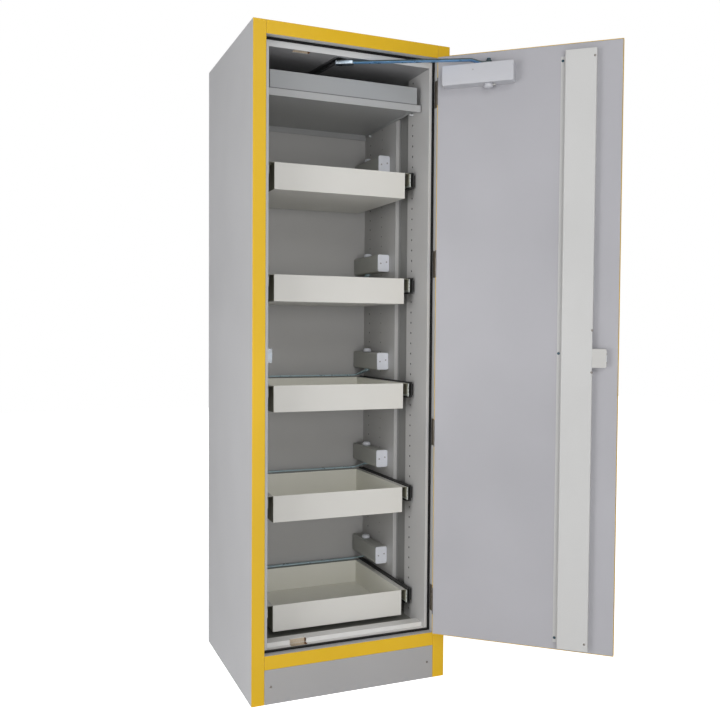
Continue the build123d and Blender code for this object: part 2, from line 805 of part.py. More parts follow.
arm_vector = Vector(slider_world.X - shaft_world.X, slider_world.Y - shaft_world.Y, 0)
arm_plane = Plane(origin=(shaft_world.X, shaft_world.Y, arm_z), x_dir=arm_vector, z_dir=(0, 0, 1))
arm_reach = arm_vector.length
shaft_low = door_closer_z[1] - shaft_depth - arm_z
with BuildPart(arm_plane) as door_closer_arm:
    block((0, arm_reach + arm_width / 2), (-arm_width / 2, arm_width / 2), (0, arm_thickness))
    disc(arm_plane, arm_hub_radius, arm_thickness)
    disc(arm_plane.offset(-arm_boss_height), arm_boss_radius, arm_boss_height)
    round_bar((0, 0, shaft_low), shaft_radius, arm_thickness + arm_hub_proud - shaft_low)
    disc(arm_plane * Location((arm_reach, 0, 0)), slider_pin_radius, ceiling_z - arm_z - fit_gap)
    block(
        (arm_reach + arm_width / 2 - arm_clip_length, arm_reach + arm_width / 2),
        (-arm_clip_width / 2, arm_clip_width / 2),
        (arm_thickness, arm_thickness + arm_clip_thickness),
    )
finish(door_closer_arm, "door_closer_arm")

slider_plane = Plane(origin=slider_world, x_dir=track_direction, z_dir=(0, 0, 1))
with BuildPart(slider_plane) as closer_slider:
    with Locations((0, 0, track_wall + fit_gap)):
        Box(slider_length, slider_width, slider_height, align=(Align.CENTER, Align.CENTER, Align.MIN))
    chamfer(closer_slider.edges().filter_by(Axis.Z), length=slider_corner)
    disc(slider_plane.offset(fit_gap), slider_pin_radius, slider_height)
finish(closer_slider, "closer_slider")

with BuildPart() as drawer_closer_bodies:
    for top in drawer_tops:
        low = top + closer_above_tray
        block(
            (liner_rear_x - closer_depth, liner_rear_x),
            (closer_front_y + closer_cap, closer_front_y + closer_length),
            (low, low + closer_height),
        )
    chamfer(drawer_closer_bodies.edges().filter_by(Axis.Y), length=closer_corner)
    for top in drawer_tops:
        low = top + closer_above_tray
        disc(Plane(origin=(*arm_pivot, low)), shaft_radius + pin_clearance, bore_depth, Mode.SUBTRACT)
finish(drawer_closer_bodies, "drawer_closer_bodies")

with BuildPart() as drawer_closer_caps:
    for top in drawer_tops:
        low = top + closer_above_tray
        block(
            (liner_rear_x - closer_depth, liner_rear_x),
            (closer_front_y, closer_front_y + closer_cap),
            (low, low + closer_height),
        )
    chamfer(drawer_closer_caps.edges().filter_by(Axis.Y), length=closer_corner)
finish(drawer_closer_caps, "drawer_closer_caps")

with BuildPart() as drawer_closer_knobs:
    for top in drawer_tops:
        disc(Plane(origin=(*arm_pivot, top + closer_above_tray + closer_height)), knob_radius, knob_height)
finish(drawer_closer_knobs, "drawer_closer_knobs")

# ---- drawers: tray, runners and closer arm ----------------------------------------------
runner_front_y = drawer_front_y + runner_setback
runner_out_x = drawer_half_width + tray_flange + fit_gap + runner_depth     # outer face of the fixed member


def channel(back_x, depth, low, high, thickness, hand):
    """A channel that lies on its side along Y, its web at back_x and open towards the tray."""
    web = hand * back_x
    lip = hand * (back_x - depth)
    folded(
        [(lip, high), (web, high), (web, low), (lip, low)],
        Side.RIGHT if hand > 0 else Side.LEFT,
        thickness,
    )


def runner_levels(top):
    high = top + runner_above_tray
    return high - runner_height, high


race_height = runner_height - 2 * (runner_sheet + fit_gap + middle_sheet + race_gap)
section = Plane.XZ.offset(-(runner_front_y + runner_length))
with BuildPart() as runner_cabinet_members:
    for top in drawer_tops:
        low, high = runner_levels(top)
        for hand in (-1, 1):
            with BuildSketch(section):
                channel(runner_out_x, runner_depth, low, high, runner_sheet, hand)
            extrude(amount=runner_length)
            middle = (low + high) / 2
            bracket_z = (middle - runner_bracket_height / 2, middle + runner_bracket_height / 2)
            for wall, y in ((liner_front_x, hole_front_y), (liner_rear_x, runner_bracket_rear_y)):
                block(
                    sorted((hand * runner_out_x, hand * wall)),
                    (y - runner_bracket_length / 2, y + runner_bracket_length / 2),
                    bracket_z,
                )
finish(runner_cabinet_members, "runner_cabinet_members")

for number, top in enumerate(drawer_tops, 1):
    low, high = runner_levels(top)

    with BuildPart() as middle_members:
        for hand in (-1, 1):
            with BuildSketch(section):
                channel(
                    runner_out_x - runner_sheet - fit_gap,
                    runner_depth - runner_sheet - fit_gap - middle_setback,
                    low + runner_sheet + fit_gap,
                    high - runner_sheet - fit_gap,
                    middle_sheet,
                    hand,
                )
            extrude(amount=runner_length)
    finish(middle_members, f"drawer_{number}_middle_members")

    with BuildPart() as tray:
        block(
            (-drawer_half_width, drawer_half_width),
            (drawer_front_y, drawer_back_y),
            (top - drawer_height, top),
        )
        offset(amount=-sheet, openings=tray.faces().sort_by(Axis.Z)[-1])
        flange_x = drawer_half_width + tray_flange
        for hand in (-1, 1):
            with BuildSketch(Plane.XZ.offset(-drawer_back_y)):
                folded(
                    [
                        (hand * drawer_half_width, top),
                        (hand * flange_x, top),
                        (hand * flange_x, top - tray_flange_drop),
                    ],
                    Side.RIGHT if hand > 0 else Side.LEFT,
                )
            extrude(amount=drawer_back_y - drawer_front_y - sheet)
            with BuildSketch(section):
                with Locations((hand * (flange_x + inner_thickness / 2), (low + high) / 2)):
                    Rectangle(inner_thickness, inner_height)
                with Locations((hand * (flange_x + inner_thickness - race_thickness / 2), (low + high) / 2)):
                    Rectangle(race_thickness, race_height)
            extrude(amount=runner_length)
        with BuildSketch(Plane.YZ.offset(-guide_half_length)):
            folded(
                [
                    (drawer_back_y, top - sheet),
                    (drawer_back_y, top - guide_height - sheet),
                    (drawer_back_y + guide_depth, top - guide_height - sheet),
                    (drawer_back_y + guide_depth, top - sheet),
                ],
                Side.LEFT,
            )
        extrude(amount=2 * guide_half_length)
    finish(tray, f"drawer_{number}_tray")

    with BuildPart() as closer_arm:
        arm_low = top + drawer_arm_above_tray
        hub_low = top + closer_above_tray - hub_drop
        bend = Vector(drawer_arm_bend_x, drawer_arm_y, arm_low + drawer_arm_thickness / 2)
        hub = Vector(*arm_pivot, hub_low + drawer_arm_thickness / 2)
        block(
            (drawer_arm_tip_x - drawer_arm_width / 2, drawer_arm_bend_x + drawer_arm_width / 2),
            (drawer_arm_y - drawer_arm_width / 2, drawer_arm_y + drawer_arm_width / 2),
            (arm_low, arm_low + drawer_arm_thickness),
        )
        with BuildSketch(Plane(origin=bend, x_dir=(1, 0, 0), z_dir=hub - bend)):
            Rectangle(drawer_arm_width, drawer_arm_thickness)
        extrude(amount=(hub - bend).length)
        disc(Plane(origin=(*arm_pivot, hub_low)), hub_radius, hub_height)
        round_bar((*arm_pivot, hub_low), shaft_radius, hub_drop + shaft_depth)
        roller_plane = Plane(origin=(drawer_arm_tip_x, drawer_arm_y, top + fit_gap))
        disc(roller_plane, roller_radius, drawer_arm_above_tray)
    finish(closer_arm, f"drawer_{number}_closer_arm")
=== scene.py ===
"""Tall fire-resistant cabinet with five self-closing drawers and one door, seen a little from the left.

Metres; X to the right, Y to the back, Z up. The origin is the centre of the footprint on the floor.
The cabinet is dressed in the order in which it is put together: casing, yellow frame, lining, shelf,
drawers with their runners and closers, then the door with its lock, handle, closer and hinges.
"""
import math

import bmesh
import bpy
import numpy as np
from mathutils import Matrix, Vector


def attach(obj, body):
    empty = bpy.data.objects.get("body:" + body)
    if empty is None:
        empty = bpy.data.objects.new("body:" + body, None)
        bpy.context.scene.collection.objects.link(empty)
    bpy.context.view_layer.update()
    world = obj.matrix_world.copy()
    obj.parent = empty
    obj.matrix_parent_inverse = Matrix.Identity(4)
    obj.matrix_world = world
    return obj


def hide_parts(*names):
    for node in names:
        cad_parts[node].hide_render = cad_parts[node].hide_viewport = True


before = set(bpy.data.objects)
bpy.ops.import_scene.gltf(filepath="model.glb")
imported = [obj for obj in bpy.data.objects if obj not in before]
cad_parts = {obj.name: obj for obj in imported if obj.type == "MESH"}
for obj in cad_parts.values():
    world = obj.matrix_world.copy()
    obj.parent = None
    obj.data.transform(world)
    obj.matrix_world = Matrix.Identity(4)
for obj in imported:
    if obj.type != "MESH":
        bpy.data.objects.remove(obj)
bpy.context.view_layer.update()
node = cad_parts

# ---- camera, studio light and floor --------------------------------------------------------
# The cabinet stands on a pale studio floor in even, soft light: a large lamp beside the camera, one
# above it, one low on the left and a weak one on the right. The camera is at chest height, to the left.
eye = (-0.94696, -2.59916, 1.07968)
eye_turn, eye_tilt, eye_roll = math.radians(22.61), math.radians(1.9715), math.radians(0.403)
camera = bpy.data.objects.new("camera", bpy.data.cameras.new("camera"))
camera.data.sensor_width = 36.0
camera.data.lens = 42.34
camera.matrix_world = (
    Matrix.Translation(eye)
    @ Matrix.Rotation(-eye_turn, 4, "Z")
    @ Matrix.Rotation(math.pi / 2 - eye_tilt, 4, "X")
    @ Matrix.Rotation(eye_roll, 4, "Z")
)
bpy.context.scene.collection.objects.link(camera)
bpy.context.scene.camera = camera
bpy.context.scene.view_settings.view_transform = "Standard"


def soft_lamp(name, place, aim, size, power):
    """A square area lamp at place, turned to face the point it lights."""
    lamp = bpy.data.objects.new(name, bpy.data.lights.new(name, "AREA"))
    lamp.data.shape, lamp.data.size, lamp.data.energy = "SQUARE", size, power
    lamp.location = place
    lamp.rotation_euler = (Vector(aim) - Vector(place)).to_track_quat("-Z", "Y").to_euler()
    bpy.context.scene.collection.objects.link(lamp)


soft_lamp("front_lamp", (-0.7, -4.4, 0.95), (0.0, 0.0, 0.9), 1.6, 40)
soft_lamp("left_lamp", (-3.1, -1.7, 1.05), (0.0, 0.0, 1.0), 1.6, 40)
soft_lamp("high_lamp", (-0.6, -4.0, 3.2), (0.0, 0.0, 0.5), 1.8, 34)
soft_lamp("right_lamp", (2.6, -2.8, 1.3), (0.2, 0.0, 1.0), 2.0, 2)

world = bpy.data.worlds.new("studio")
world.use_nodes = True
bpy.context.scene.world = world
sky = world.node_tree.nodes["Background"]
sky.inputs["Color"].default_value = (1.0, 1.0, 1.0, 1.0)
rays = world.node_tree.nodes.new("ShaderNodeLightPath")
level = world.node_tree.nodes.new("ShaderNodeMapRange")
level.inputs["To Min"].default_value, level.inputs["To Max"].default_value = 0.30, 1.0
world.node_tree.links.new(rays.outputs["Is Camera Ray"], level.inputs["Value"])
world.node_tree.links.new(level.outputs["Result"], sky.inputs["Strength"])


def add_node(tree, kind, values=None, **settings):
    """A new node with the given settings, and default values for the sockets named in values."""
    made = tree.nodes.new(kind)
    for key, value in settings.items():
        setattr(made, key, value)
    for key, value in (values or {}).items():
        made.inputs[key].default_value = value
    return made


def new_material(name, **values):
    """A node material with its Principled shader set to the given constants."""
    material = bpy.data.materials.new(name)
    material.use_nodes = True
    shader = material.node_tree.nodes["Principled BSDF"]
    for key, value in values.items():
        shader.inputs[key.replace("_", " ")].default_value = value
    return material, material.node_tree, shader


def object_place(tree):
    """Object coordinates in metres, as a socket: the place of the point that is shaded."""
    return add_node(tree, "ShaderNodeTexCoord").outputs["Object"]


floor_half = 9.0
floor_corners = [(x * floor_half, y * floor_half, 0.0) for x, y in ((-1, -1), (1, -1), (1, 1), (-1, 1))]
floor_mesh = bpy.data.meshes.new("studio_floor")
floor_mesh.from_pydata(floor_corners, [], [(0, 1, 2, 3)])
floor = bpy.data.objects.new("studio_floor", floor_mesh)
floor_material, tree, shader = new_material("pale_floor", Roughness=0.85)
shader.inputs["Emission Color"].default_value = (1.0, 1.0, 1.0, 1.0)
glow = add_node(tree, "ShaderNodeMapRange", {"To Min": 0.04, "To Max": 1.0})
tree.links.new(add_node(tree, "ShaderNodeLightPath").outputs["Is Camera Ray"], glow.inputs["Value"])
tree.links.new(glow.outputs["Result"], shader.inputs["Emission Strength"])
grain = add_node(tree, "ShaderNodeTexNoise", {"Scale": 3.0, "Detail": 2.0})
tint = add_node(tree, "ShaderNodeMapRange", {"To Min": 0.90, "To Max": 0.93})
tree.links.new(object_place(tree), grain.inputs["Vector"])
tree.links.new(grain.outputs["Fac"], tint.inputs["Value"])
tree.links.new(tint.outputs["Result"], shader.inputs["Base Color"])
floor_mesh.materials.append(floor_material)
bpy.context.scene.collection.objects.link(floor)


# ---- casing: side panels, back, roof, base pan and plinth ----------------------------------
# Folded steel sheets screwed into one case, powder coated light grey. The coat has the fine
# orange peel and the faint unevenness of a sprayed and baked finish, and thins on the folds.
def effect_group(name, inputs, outputs):
    """An empty node group with the named sockets; colours are named Colour..., the rest are numbers."""
    group = bpy.data.node_groups.new(name, "ShaderNodeTree")
    for side, names in (("INPUT", inputs), ("OUTPUT", outputs)):
        for label in names:
            kind = "NodeSocketColor" if label.startswith("Colour") else "NodeSocketFloat"
            group.interface.new_socket(label, in_out=side, socket_type=kind)
    return group, add_node(group, "NodeGroupInput").outputs, add_node(group, "NodeGroupOutput").inputs


def noise_on(tree, coords, scale, detail=2.0, stretch=None):
    """Noise over Object coordinates in metres, stretched by a Mapping node where asked."""
    source = coords
    if stretch:
        mapping = add_node(tree, "ShaderNodeMapping", {"Scale": stretch})
        tree.links.new(coords, mapping.inputs["Vector"])
        source = mapping.outputs["Vector"]
    noise = add_node(tree, "ShaderNodeTexNoise", {"Scale": scale, "Detail": detail})
    tree.links.new(source, noise.inputs["Vector"])
    return noise.outputs["Fac"]


def feed(tree, socket, value):
    """Puts a number, a colour of three parts, or another node's output into a socket."""
    if isinstance(value, tuple):
        socket.default_value = (*value, 1.0)
    elif isinstance(value, (int, float)):
        socket.default_value = value
    else:
        tree.links.new(value, socket)


def ranged(tree, value, start, end, low, high):
    """Maps a value from start..end to low..high, held at both ends; any bound may be a socket."""
    mapped = add_node(tree, "ShaderNodeMapRange")
    sockets = [mapped.inputs[key] for key in ("Value", "From Min", "From Max", "To Min", "To Max")]
    for socket, fed in zip(sockets, (value, start, end, low, high)):
        feed(tree, socket, fed)
    return mapped.outputs["Result"]


def maths(tree, operation, a, b=0.0):
    """One Math node; either side may be a number or a socket."""
    made = add_node(tree, "ShaderNodeMath", operation=operation)
    feed(tree, made.inputs[0], a)
    feed(tree, made.inputs[1], b)
    return made.outputs["Value"]


# A Mix node's colour sockets share their names with those for numbers, so they are taken by place.
mix_a, mix_b, mix_result = 6, 7, 2


def blended(tree, factor, a, b, blend_type="MIX"):
    """Colour a changed towards colour b by the factor."""
    made = add_node(tree, "ShaderNodeMix", data_type="RGBA", blend_type=blend_type)
    feed(tree, made.inputs["Factor"], factor)
    feed(tree, made.inputs[mix_a], a)
    feed(tree, made.inputs[mix_b], b)
    return made.outputs[mix_result]


def axes_of(tree, vector):
    """The x, y and z of a vector, as three sockets."""
    parts = add_node(tree, "ShaderNodeSeparateXYZ")
    tree.links.new(vector, parts.inputs["Vector"])
    return parts.outputs


def normal_of(tree, kind="Normal"):
    """The way the surface faces, as a socket; True Normal is that of the flat face."""
    return add_node(tree, "ShaderNodeNewGeometry").outputs[kind]


# Powder coat: tone drifts over half a metre, specks are a millimetre apart, the peel is the height.
powder_coat, given, result = effect_group(
    "powder_coat", ["Colour", "Drift", "Gloss", "Peel"], ["Colour", "Roughness", "Height"]
)
spots = object_place(powder_coat)
broad = noise_on(powder_coat, spots, 2.1)
drift_low = maths(powder_coat, "SUBTRACT", 1.0, given["Drift"])
drift_high = maths(powder_coat, "ADD", 1.0, given["Drift"])
tone = ranged(powder_coat, broad, 0.32, 0.68, drift_low, drift_high)
speck = ranged(powder_coat, noise_on(powder_coat, spots, 900.0, 1.0), 0.3, 0.7, 0.985, 1.015)
toned = blended(powder_coat, 1.0, given["Colour"], maths(powder_coat, "MULTIPLY", tone, speck), "MULTIPLY")
powder_coat.links.new(toned, result["Colour"])
smear = ranged(powder_coat, noise_on(powder_coat, spots, 6.0, 4.0), 0.3, 0.7, -0.04, 0.05)
powder_coat.links.new(maths(powder_coat, "ADD", given["Gloss"], smear), result["Roughness"])
peel = add_node(powder_coat, "ShaderNodeTexNoise", {"Detail": 1.0})
powder_coat.links.new(spots, peel.inputs["Vector"])
powder_coat.links.new(given["Peel"], peel.inputs["Scale"])
powder_coat.links.new(peel.outputs["Fac"], result["Height"])

# Edge wear: within two millimetres of a fold the coat is rubbed thin, in broken patches.
edge_wear, given, result = effect_group("edge_wear", ["Colour", "Colour worn", "Amount"], ["Colour", "Mask"])
spots = object_place(edge_wear)
rounded = add_node(edge_wear, "ShaderNodeBevel", {"Radius": 0.002}, samples=4)
alike = add_node(edge_wear, "ShaderNodeVectorMath", operation="DOT_PRODUCT")
edge_wear.links.new(rounded.outputs["Normal"], alike.inputs[0])
edge_wear.links.new(normal_of(edge_wear), alike.inputs[1])
turned_out = ranged(edge_wear, alike.outputs["Value"], 0.90, 0.99, 1.0, 0.0)
broken = ranged(edge_wear, noise_on(edge_wear, spots, 40.0, 3.0), 0.42, 0.62, 0.15, 1.0)
rubbed = maths(edge_wear, "MULTIPLY", maths(edge_wear, "MULTIPLY", turned_out, broken), given["Amount"])
edge_wear.links.new(rubbed, result["Mask"])
edge_wear.links.new(blended(edge_wear, rubbed, given["Colour"], given["Colour worn"]), result["Colour"])

# Settled dust: a thin pale veil on surfaces that face up, thicker in drifting patches.
settled_dust, given, result = effect_group("settled_dust", ["Colour", "Amount"], ["Colour", "Mask"])
spots = object_place(settled_dust)
upward = ranged(settled_dust, axes_of(settled_dust, normal_of(settled_dust))["Z"], 0.6, 0.98, 0.0, 1.0)
patchy = ranged(settled_dust, noise_on(settled_dust, spots, 14.0, 5.0), 0.35, 0.7, 0.35, 1.0)
veil = maths(settled_dust, "MULTIPLY", maths(settled_dust, "MULTIPLY", upward, patchy), given["Amount"])
settled_dust.links.new(veil, result["Mask"])
dust_colour = (0.62, 0.60, 0.57)
settled_dust.links.new(blended(settled_dust, veil, given["Colour"], dust_colour), result["Colour"])


def use_effect(tree, group, **values):
    """The group placed in a material, with its own values; underscores in names stand for spaces."""
    made = add_node(tree, "ShaderNodeGroup", node_tree=group)
    for key, value in values.items():
        feed(tree, made.inputs[key.replace("_", " ")], value)
    return made.outputs


def raised(tree, shader, height, depth):
    """Feeds a height through a Bump node of the given depth in metres."""
    bump = add_node(tree, "ShaderNodeBump", {"Distance": depth, "Strength": 1.0})
    tree.links.new(height, bump.inputs["Height"])
    tree.links.new(bump.outputs["Normal"], shader.inputs["Normal"])


peel_depth = 0.00018


def coated(name, colour, gloss, drift=0.03, peel=420.0, worn=0.4, dust=0.12, painted=None):
    """Powder-coated steel: coat, then wear on the folds, then dust; painted may recolour by place."""
    material, tree, shader = new_material(name, IOR=1.5)
    start = painted(tree) if painted else colour
    coat = use_effect(tree, powder_coat, Colour=start, Drift=drift, Gloss=gloss, Peel=peel)
    bare = tuple(min(1.0, 0.25 + 0.8 * c) for c in colour)
    wear = use_effect(tree, edge_wear, Colour=coat["Colour"], Colour_worn=bare, Amount=worn)
    dusty = use_effect(tree, settled_dust, Colour=wear["Colour"], Amount=dust)
    tree.links.new(dusty["Colour"], shader.inputs["Base Color"])
    duller = maths(tree, "MULTIPLY", dusty["Mask"], 0.3)
    tree.links.new(maths(tree, "ADD", coat["Roughness"], duller), shader.inputs["Roughness"])
    raised(tree, shader, coat["Height"], peel_depth)
    return material


# Points closer than the weld's gap are one, and edges sharper than the fold's angle are rounded.
weld_gap, fold_angle = 0.00002, math.radians(40)


def dress(names, material, fold=0.0007):
    """Gives carried-over nodes their finish, and rounds their folds by the given width."""
    for name in names:
        part = node[name]
        for held in part.material_slots:
            held.material = material
        if not part.material_slots:
            part.data.materials.append(material)
        if fold:
            weld = part.modifiers.new("weld", "WELD")
            weld.merge_threshold = weld_gap
            bevel = part.modifiers.new("fold", "BEVEL")
            bevel.width, bevel.segments, bevel.limit_method = fold, 2, "ANGLE"
            bevel.angle_limit = fold_angle


body_coat = coated("body_grey_coat", (0.61, 0.61, 0.625), 0.42, drift=0.035, peel=380.0)
# The plinth has the body's paint; its darker grey here is painted shade low down by the floor.
plinth_coat = coated("plinth_grey_coat", (0.38, 0.376, 0.38), 0.45, drift=0.035, peel=380.0)
dress(["side_panel_left", "side_panel_right", "back_panel", "roof_panel"], body_coat)
dress(["plinth_panel"], plinth_coat)
dress(["base_pan"], body_coat, fold=0.0015)


def skin(rings, capped=True):
    """Points and faces over a stack of rings, given as rows x columns x 3. Each ring is joined to the
    next with quads; the first and last are shut with a flat cap, or joined to each other."""
    rows, columns = rings.shape[:2]
    starts, steps = np.arange(rows)[:, None] * columns, np.arange(columns)
    here, beside = starts + steps, starts + (steps + 1) % columns
    quads = np.stack([here, beside, np.roll(beside, -1, axis=0), np.roll(here, -1, axis=0)], axis=-1)
    faces = quads[: rows - 1 if capped else rows].reshape(-1, 4).tolist()
    if capped:
        faces += [here[0][::-1].tolist(), here[-1].tolist()]
    return rings.reshape(-1, 3), faces


def joined(*shapes):
    """Several shapes as one: points stacked, face numbers moved on by the points before them."""
    shifts = np.cumsum([0] + [len(points) for points, _ in shapes])
    faces = [
        [corner + shift for corner in face]
        for (_, own), shift in zip(shapes, shifts.tolist())
        for face in own
    ]
    return np.concatenate([points for points, _ in shapes]), faces


def placed(rings, origin, across, along, out):
    """Local coordinates carried to a frame: origin + x * across + y * along + z * out."""
    return np.asarray(rings) @ np.array([across, along, out], float) + np.asarray(origin, float)


def turned(profile, origin, out, sides=24):
    """A profile of (radius, height) turned about the line through origin along out."""
    profile = np.asarray(profile, float)
    out = np.asarray(out, float) / np.linalg.norm(out)
    across = np.cross(out, (0.0, 0.0, 1.0) if abs(out[2]) < 0.9 else (1.0, 0.0, 0.0))
    across /= np.linalg.norm(across)
    angle = np.arange(sides) * 2 * np.pi / sides
    radius, height = profile[:, :1], profile[:, 1:]
    rings = np.stack([radius * np.cos(angle), radius * np.sin(angle), height + 0 * angle], axis=-1)
    return skin(placed(rings, origin, across, np.cross(out, across), out))


# A corner is never quite sharp, so that a ring keeps its number of points.
least_corner = 0.00001


def rounded_outline(width, height, corner, steps=5):
    """Points round a rectangle whose corners are quarter circles of the given radius."""
    corner = max(corner, least_corner)
    sweep = np.linspace(0, np.pi / 2, steps)
    angle = (np.arange(4)[:, None] * np.pi / 2 + sweep).ravel()
    sign_x = np.repeat([1, -1, -1, 1], steps)
    sign_y = np.repeat([1, 1, -1, -1], steps)
    x = sign_x * (width / 2 - corner) + corner * np.cos(angle)
    y = sign_y * (height / 2 - corner) + corner * np.sin(angle)
    return np.stack([x, y], axis=-1)


def pillow(width, height, corner, depth, edge, origin, across, along, out, both=False):
    """A rounded block: its outline stands on the frame's plane and rises by depth, and shrinks along
    a quarter circle of radius edge towards its far face, and towards its near face too if both."""
    curve = np.linspace(0, np.pi / 2, 5)
    shrink = edge * (1 - np.cos(curve))
    climb = depth - edge + edge * np.sin(curve)
    insets, rises = np.insert(shrink, 0, 0.0), np.insert(climb, 0, 0.0)
    if both:
        insets = np.concatenate([shrink[::-1], shrink])
        rises = np.concatenate([(depth - climb)[::-1], climb])
    rings = []
    for inset, rise in zip(insets, rises):
        outline = rounded_outline(width - 2 * inset, height - 2 * inset, corner - inset)
        rings.append(np.column_stack([outline, np.full(len(outline), rise)]))
    return skin(placed(np.stack(rings), origin, across, along, out))


same_point, crisp_angle = 0.000001, math.radians(35)


def make_piece(name, shape, body, material, stands_for=()):
    """Puts points and faces into a mesh, turns its faces outwards, and keeps edges past the crisp
    angle sharp; the piece rides on its body and may stand for carried-over nodes."""
    points, faces = shape
    mesh = bpy.data.meshes.new(name)
    mesh.from_pydata(points.tolist(), [], faces)
    work = bmesh.new()
    work.from_mesh(mesh)
    bmesh.ops.remove_doubles(work, verts=work.verts, dist=same_point)
    bmesh.ops.recalc_face_normals(work, faces=work.faces)
    work.to_mesh(mesh)
    work.free()
    mesh.polygons.foreach_set("use_smooth", np.ones(len(mesh.polygons), bool))
    mesh.set_sharp_from_angle(angle=crisp_angle)
    mesh.materials.append(material)
    made = bpy.data.objects.new(name, mesh)
    bpy.context.scene.collection.objects.link(made)
    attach(made, body)
    if stands_for:
        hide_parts(*stands_for)


# Screws and rivets: a domed head turned from a profile, with a round dish in its crown that reads as
# its recess.
def screw(origin, out, radius, proud):
    """Domed head: radius falls as a quarter ellipse over the height, with a dished crown."""
    fall = np.linspace(0, np.pi / 2, 6)[:-1]
    dome = np.column_stack([radius * np.cos(fall), proud * (0.25 + 0.75 * np.sin(fall))])
    dish = [(radius * 0.34, proud * 0.98), (radius * 0.22, proud * 0.5), (radius * 0.05, proud * 0.42)]
    return turned(np.concatenate([[(radius, 0.0)], dome, dish]), origin, out, 16)


# Zinc plating: bluish silver with cloudy passivation and fine drawn lines.
zinc_plating, given, result = effect_group(
    "zinc_plating", ["Colour", "Colour cloud", "Lines"], ["Colour", "Roughness", "Height"]
)
spots = object_place(zinc_plating)
cloud = ranged(zinc_plating, noise_on(zinc_plating, spots, 45.0, 3.0), 0.35, 0.65, 0.0, 1.0)
drawn = noise_on(zinc_plating, spots, 60.0, 2.0, (1.0, 12.0, 30.0))
zinc_plating.links.new(blended(zinc_plating, cloud, given["Colour"], given["Colour cloud"]), result["Colour"])
zinc_plating.links.new(ranged(zinc_plating, cloud, 0.0, 1.0, 0.26, 0.42), result["Roughness"])
zinc_plating.links.new(maths(zinc_plating, "MULTIPLY", drawn, given["Lines"]), result["Height"])


def plated(name, colour, cloudy, dust=0.1, metal=1.0):
    """Plated steel: cloudy colour and drawn lines, rubbed brighter on its edges."""
    material, tree, shader = new_material(name, Metallic=metal)
    plating = use_effect(tree, zinc_plating, Colour=colour, Colour_cloud=cloudy, Lines=1.0)
    bright = tuple(min(1.0, c * 1.3) for c in colour)
    wear = use_effect(tree, edge_wear, Colour=plating["Colour"], Colour_worn=bright, Amount=0.7)
    dusty = use_effect(tree, settled_dust, Colour=wear["Colour"], Amount=dust)
    tree.links.new(dusty["Colour"], shader.inputs["Base Color"])
    tree.links.new(plating["Roughness"], shader.inputs["Roughness"])
    raised(tree, shader, plating["Height"], 0.0001)
    return material


zinc = plated("zinc_plated", (0.62, 0.65, 0.69), (0.50, 0.55, 0.61))
dark_screw = plated("plinth_screw_steel", (0.30, 0.28, 0.26), (0.22, 0.20, 0.19))
forwards = (0, -1, 0)
front_y, plinth_screw_x, plinth_screw_z = -0.279, 0.252, 0.051
plinth_heads = [
    screw((x, front_y + 0.0003, plinth_screw_z), forwards, 0.0035, 0.0012)
    for x in (-plinth_screw_x, plinth_screw_x)
]
make_piece("plinth_screw_heads", joined(*plinth_heads), "cabinet", dark_screw, ["plinth_screws"])

# ---- yellow front frame --------------------------------------------------------------------
# Posts and rails are folded channels round the opening, coated signal yellow and satin: the broad
# highlight down the posts comes from the lamps.
yellow = (0.74, 0.455, 0.008)
frame_coat = coated("signal_yellow_coat", yellow, 0.33, drift=0.05, peel=520.0, worn=0.25, dust=0.05)
frame_pieces = ["frame_post_left", "frame_post_right", "frame_top_rail", "frame_bottom_rail"]
dress([*frame_pieces, "door_outer_pan"], frame_coat)

# ---- grey door stop and its seal -----------------------------------------------------------
# Four sheets fold back from the yellow frame and in again as a stop; a black rubber profile with a
# soft lip is pressed round it and meets the door.
stop_coat = coated("door_stop_coat", (0.56, 0.565, 0.57), 0.42, worn=0.3)
dress(["door_stop_frame"], stop_coat)
rubber, tree, shader = new_material("black_rubber", IOR=1.5, Specular_IOR_Level=0.15)
spots = object_place(tree)
pores = noise_on(tree, spots, 1800.0, 2.0)
dull = ranged(tree, noise_on(tree, spots, 25.0, 4.0), 0.4, 0.75, 0.0, 1.0)
bloom = blended(tree, dull, (0.008, 0.008, 0.009), (0.016, 0.016, 0.017))
rubber_dust = use_effect(tree, settled_dust, Colour=bloom, Amount=0.1)
tree.links.new(rubber_dust["Colour"], shader.inputs["Base Color"])
tree.links.new(ranged(tree, pores, 0.3, 0.7, 0.55, 0.75), shader.inputs["Roughness"])
raised(tree, shader, pores, 0.0001)

opening_half, opening_low, opening_high = 0.2715, 0.142, 1.9115
stop_y, seal_slack = -0.251, 0.0003


def seal_loop(slack):
    """The profile (inwards, forwards) carried round the opening; each corner point moves inwards on
    both axes by the profile's inward distance, which mitres the corner."""
    inward = np.array([0.0, 7.0, 7.0, 6.2, 4.6, 3.4, 3.0, 2.2, 1.0, 0.0]) / 1000
    forward = np.array([0.0, 0.0, 3.4, 5.4, 6.8, 6.6, 4.2, 3.0, 3.4, 3.2]) / 1000
    corners = np.array([(-1, -1), (1, -1), (1, 1), (-1, 1)], float)
    middle = (opening_low + opening_high) / 2
    half = np.array([opening_half, (opening_high - opening_low) / 2]) - slack
    flat = corners[:, None, :] * (half - inward[:, None])
    return np.stack([flat[..., 0], stop_y - forward + 0 * flat[..., 0], flat[..., 1] + middle], axis=-1)


seal_shape = skin(seal_loop(seal_slack), capped=False)
make_piece("door_seal_profile", seal_shape, "cabinet", rubber, ["door_seal"])

# ---- lining: side liners, back, ceiling, floor and the rods' pockets ------------------------
# Light grey coated sheets line the fire-resistant boards. The side liners step out into an upright
# groove and are punched with rows of round holes at 33.2 mm, for shelves and runners.
# The groove's darker grey and the holes' near black, used below, are painted shade.
lining_grey, groove_shade_grey, hole_shade = (0.51, 0.505, 0.50), (0.27, 0.27, 0.265), (0.02, 0.02, 0.02)
front_wall, rear_wall, half_sheet = 0.2555, 0.250, 0.0007
groove_front, groove_back, groove_past, hole_wall_past = -0.105, -0.024, 0.262, 0.0003
lip_back_y = -0.1925


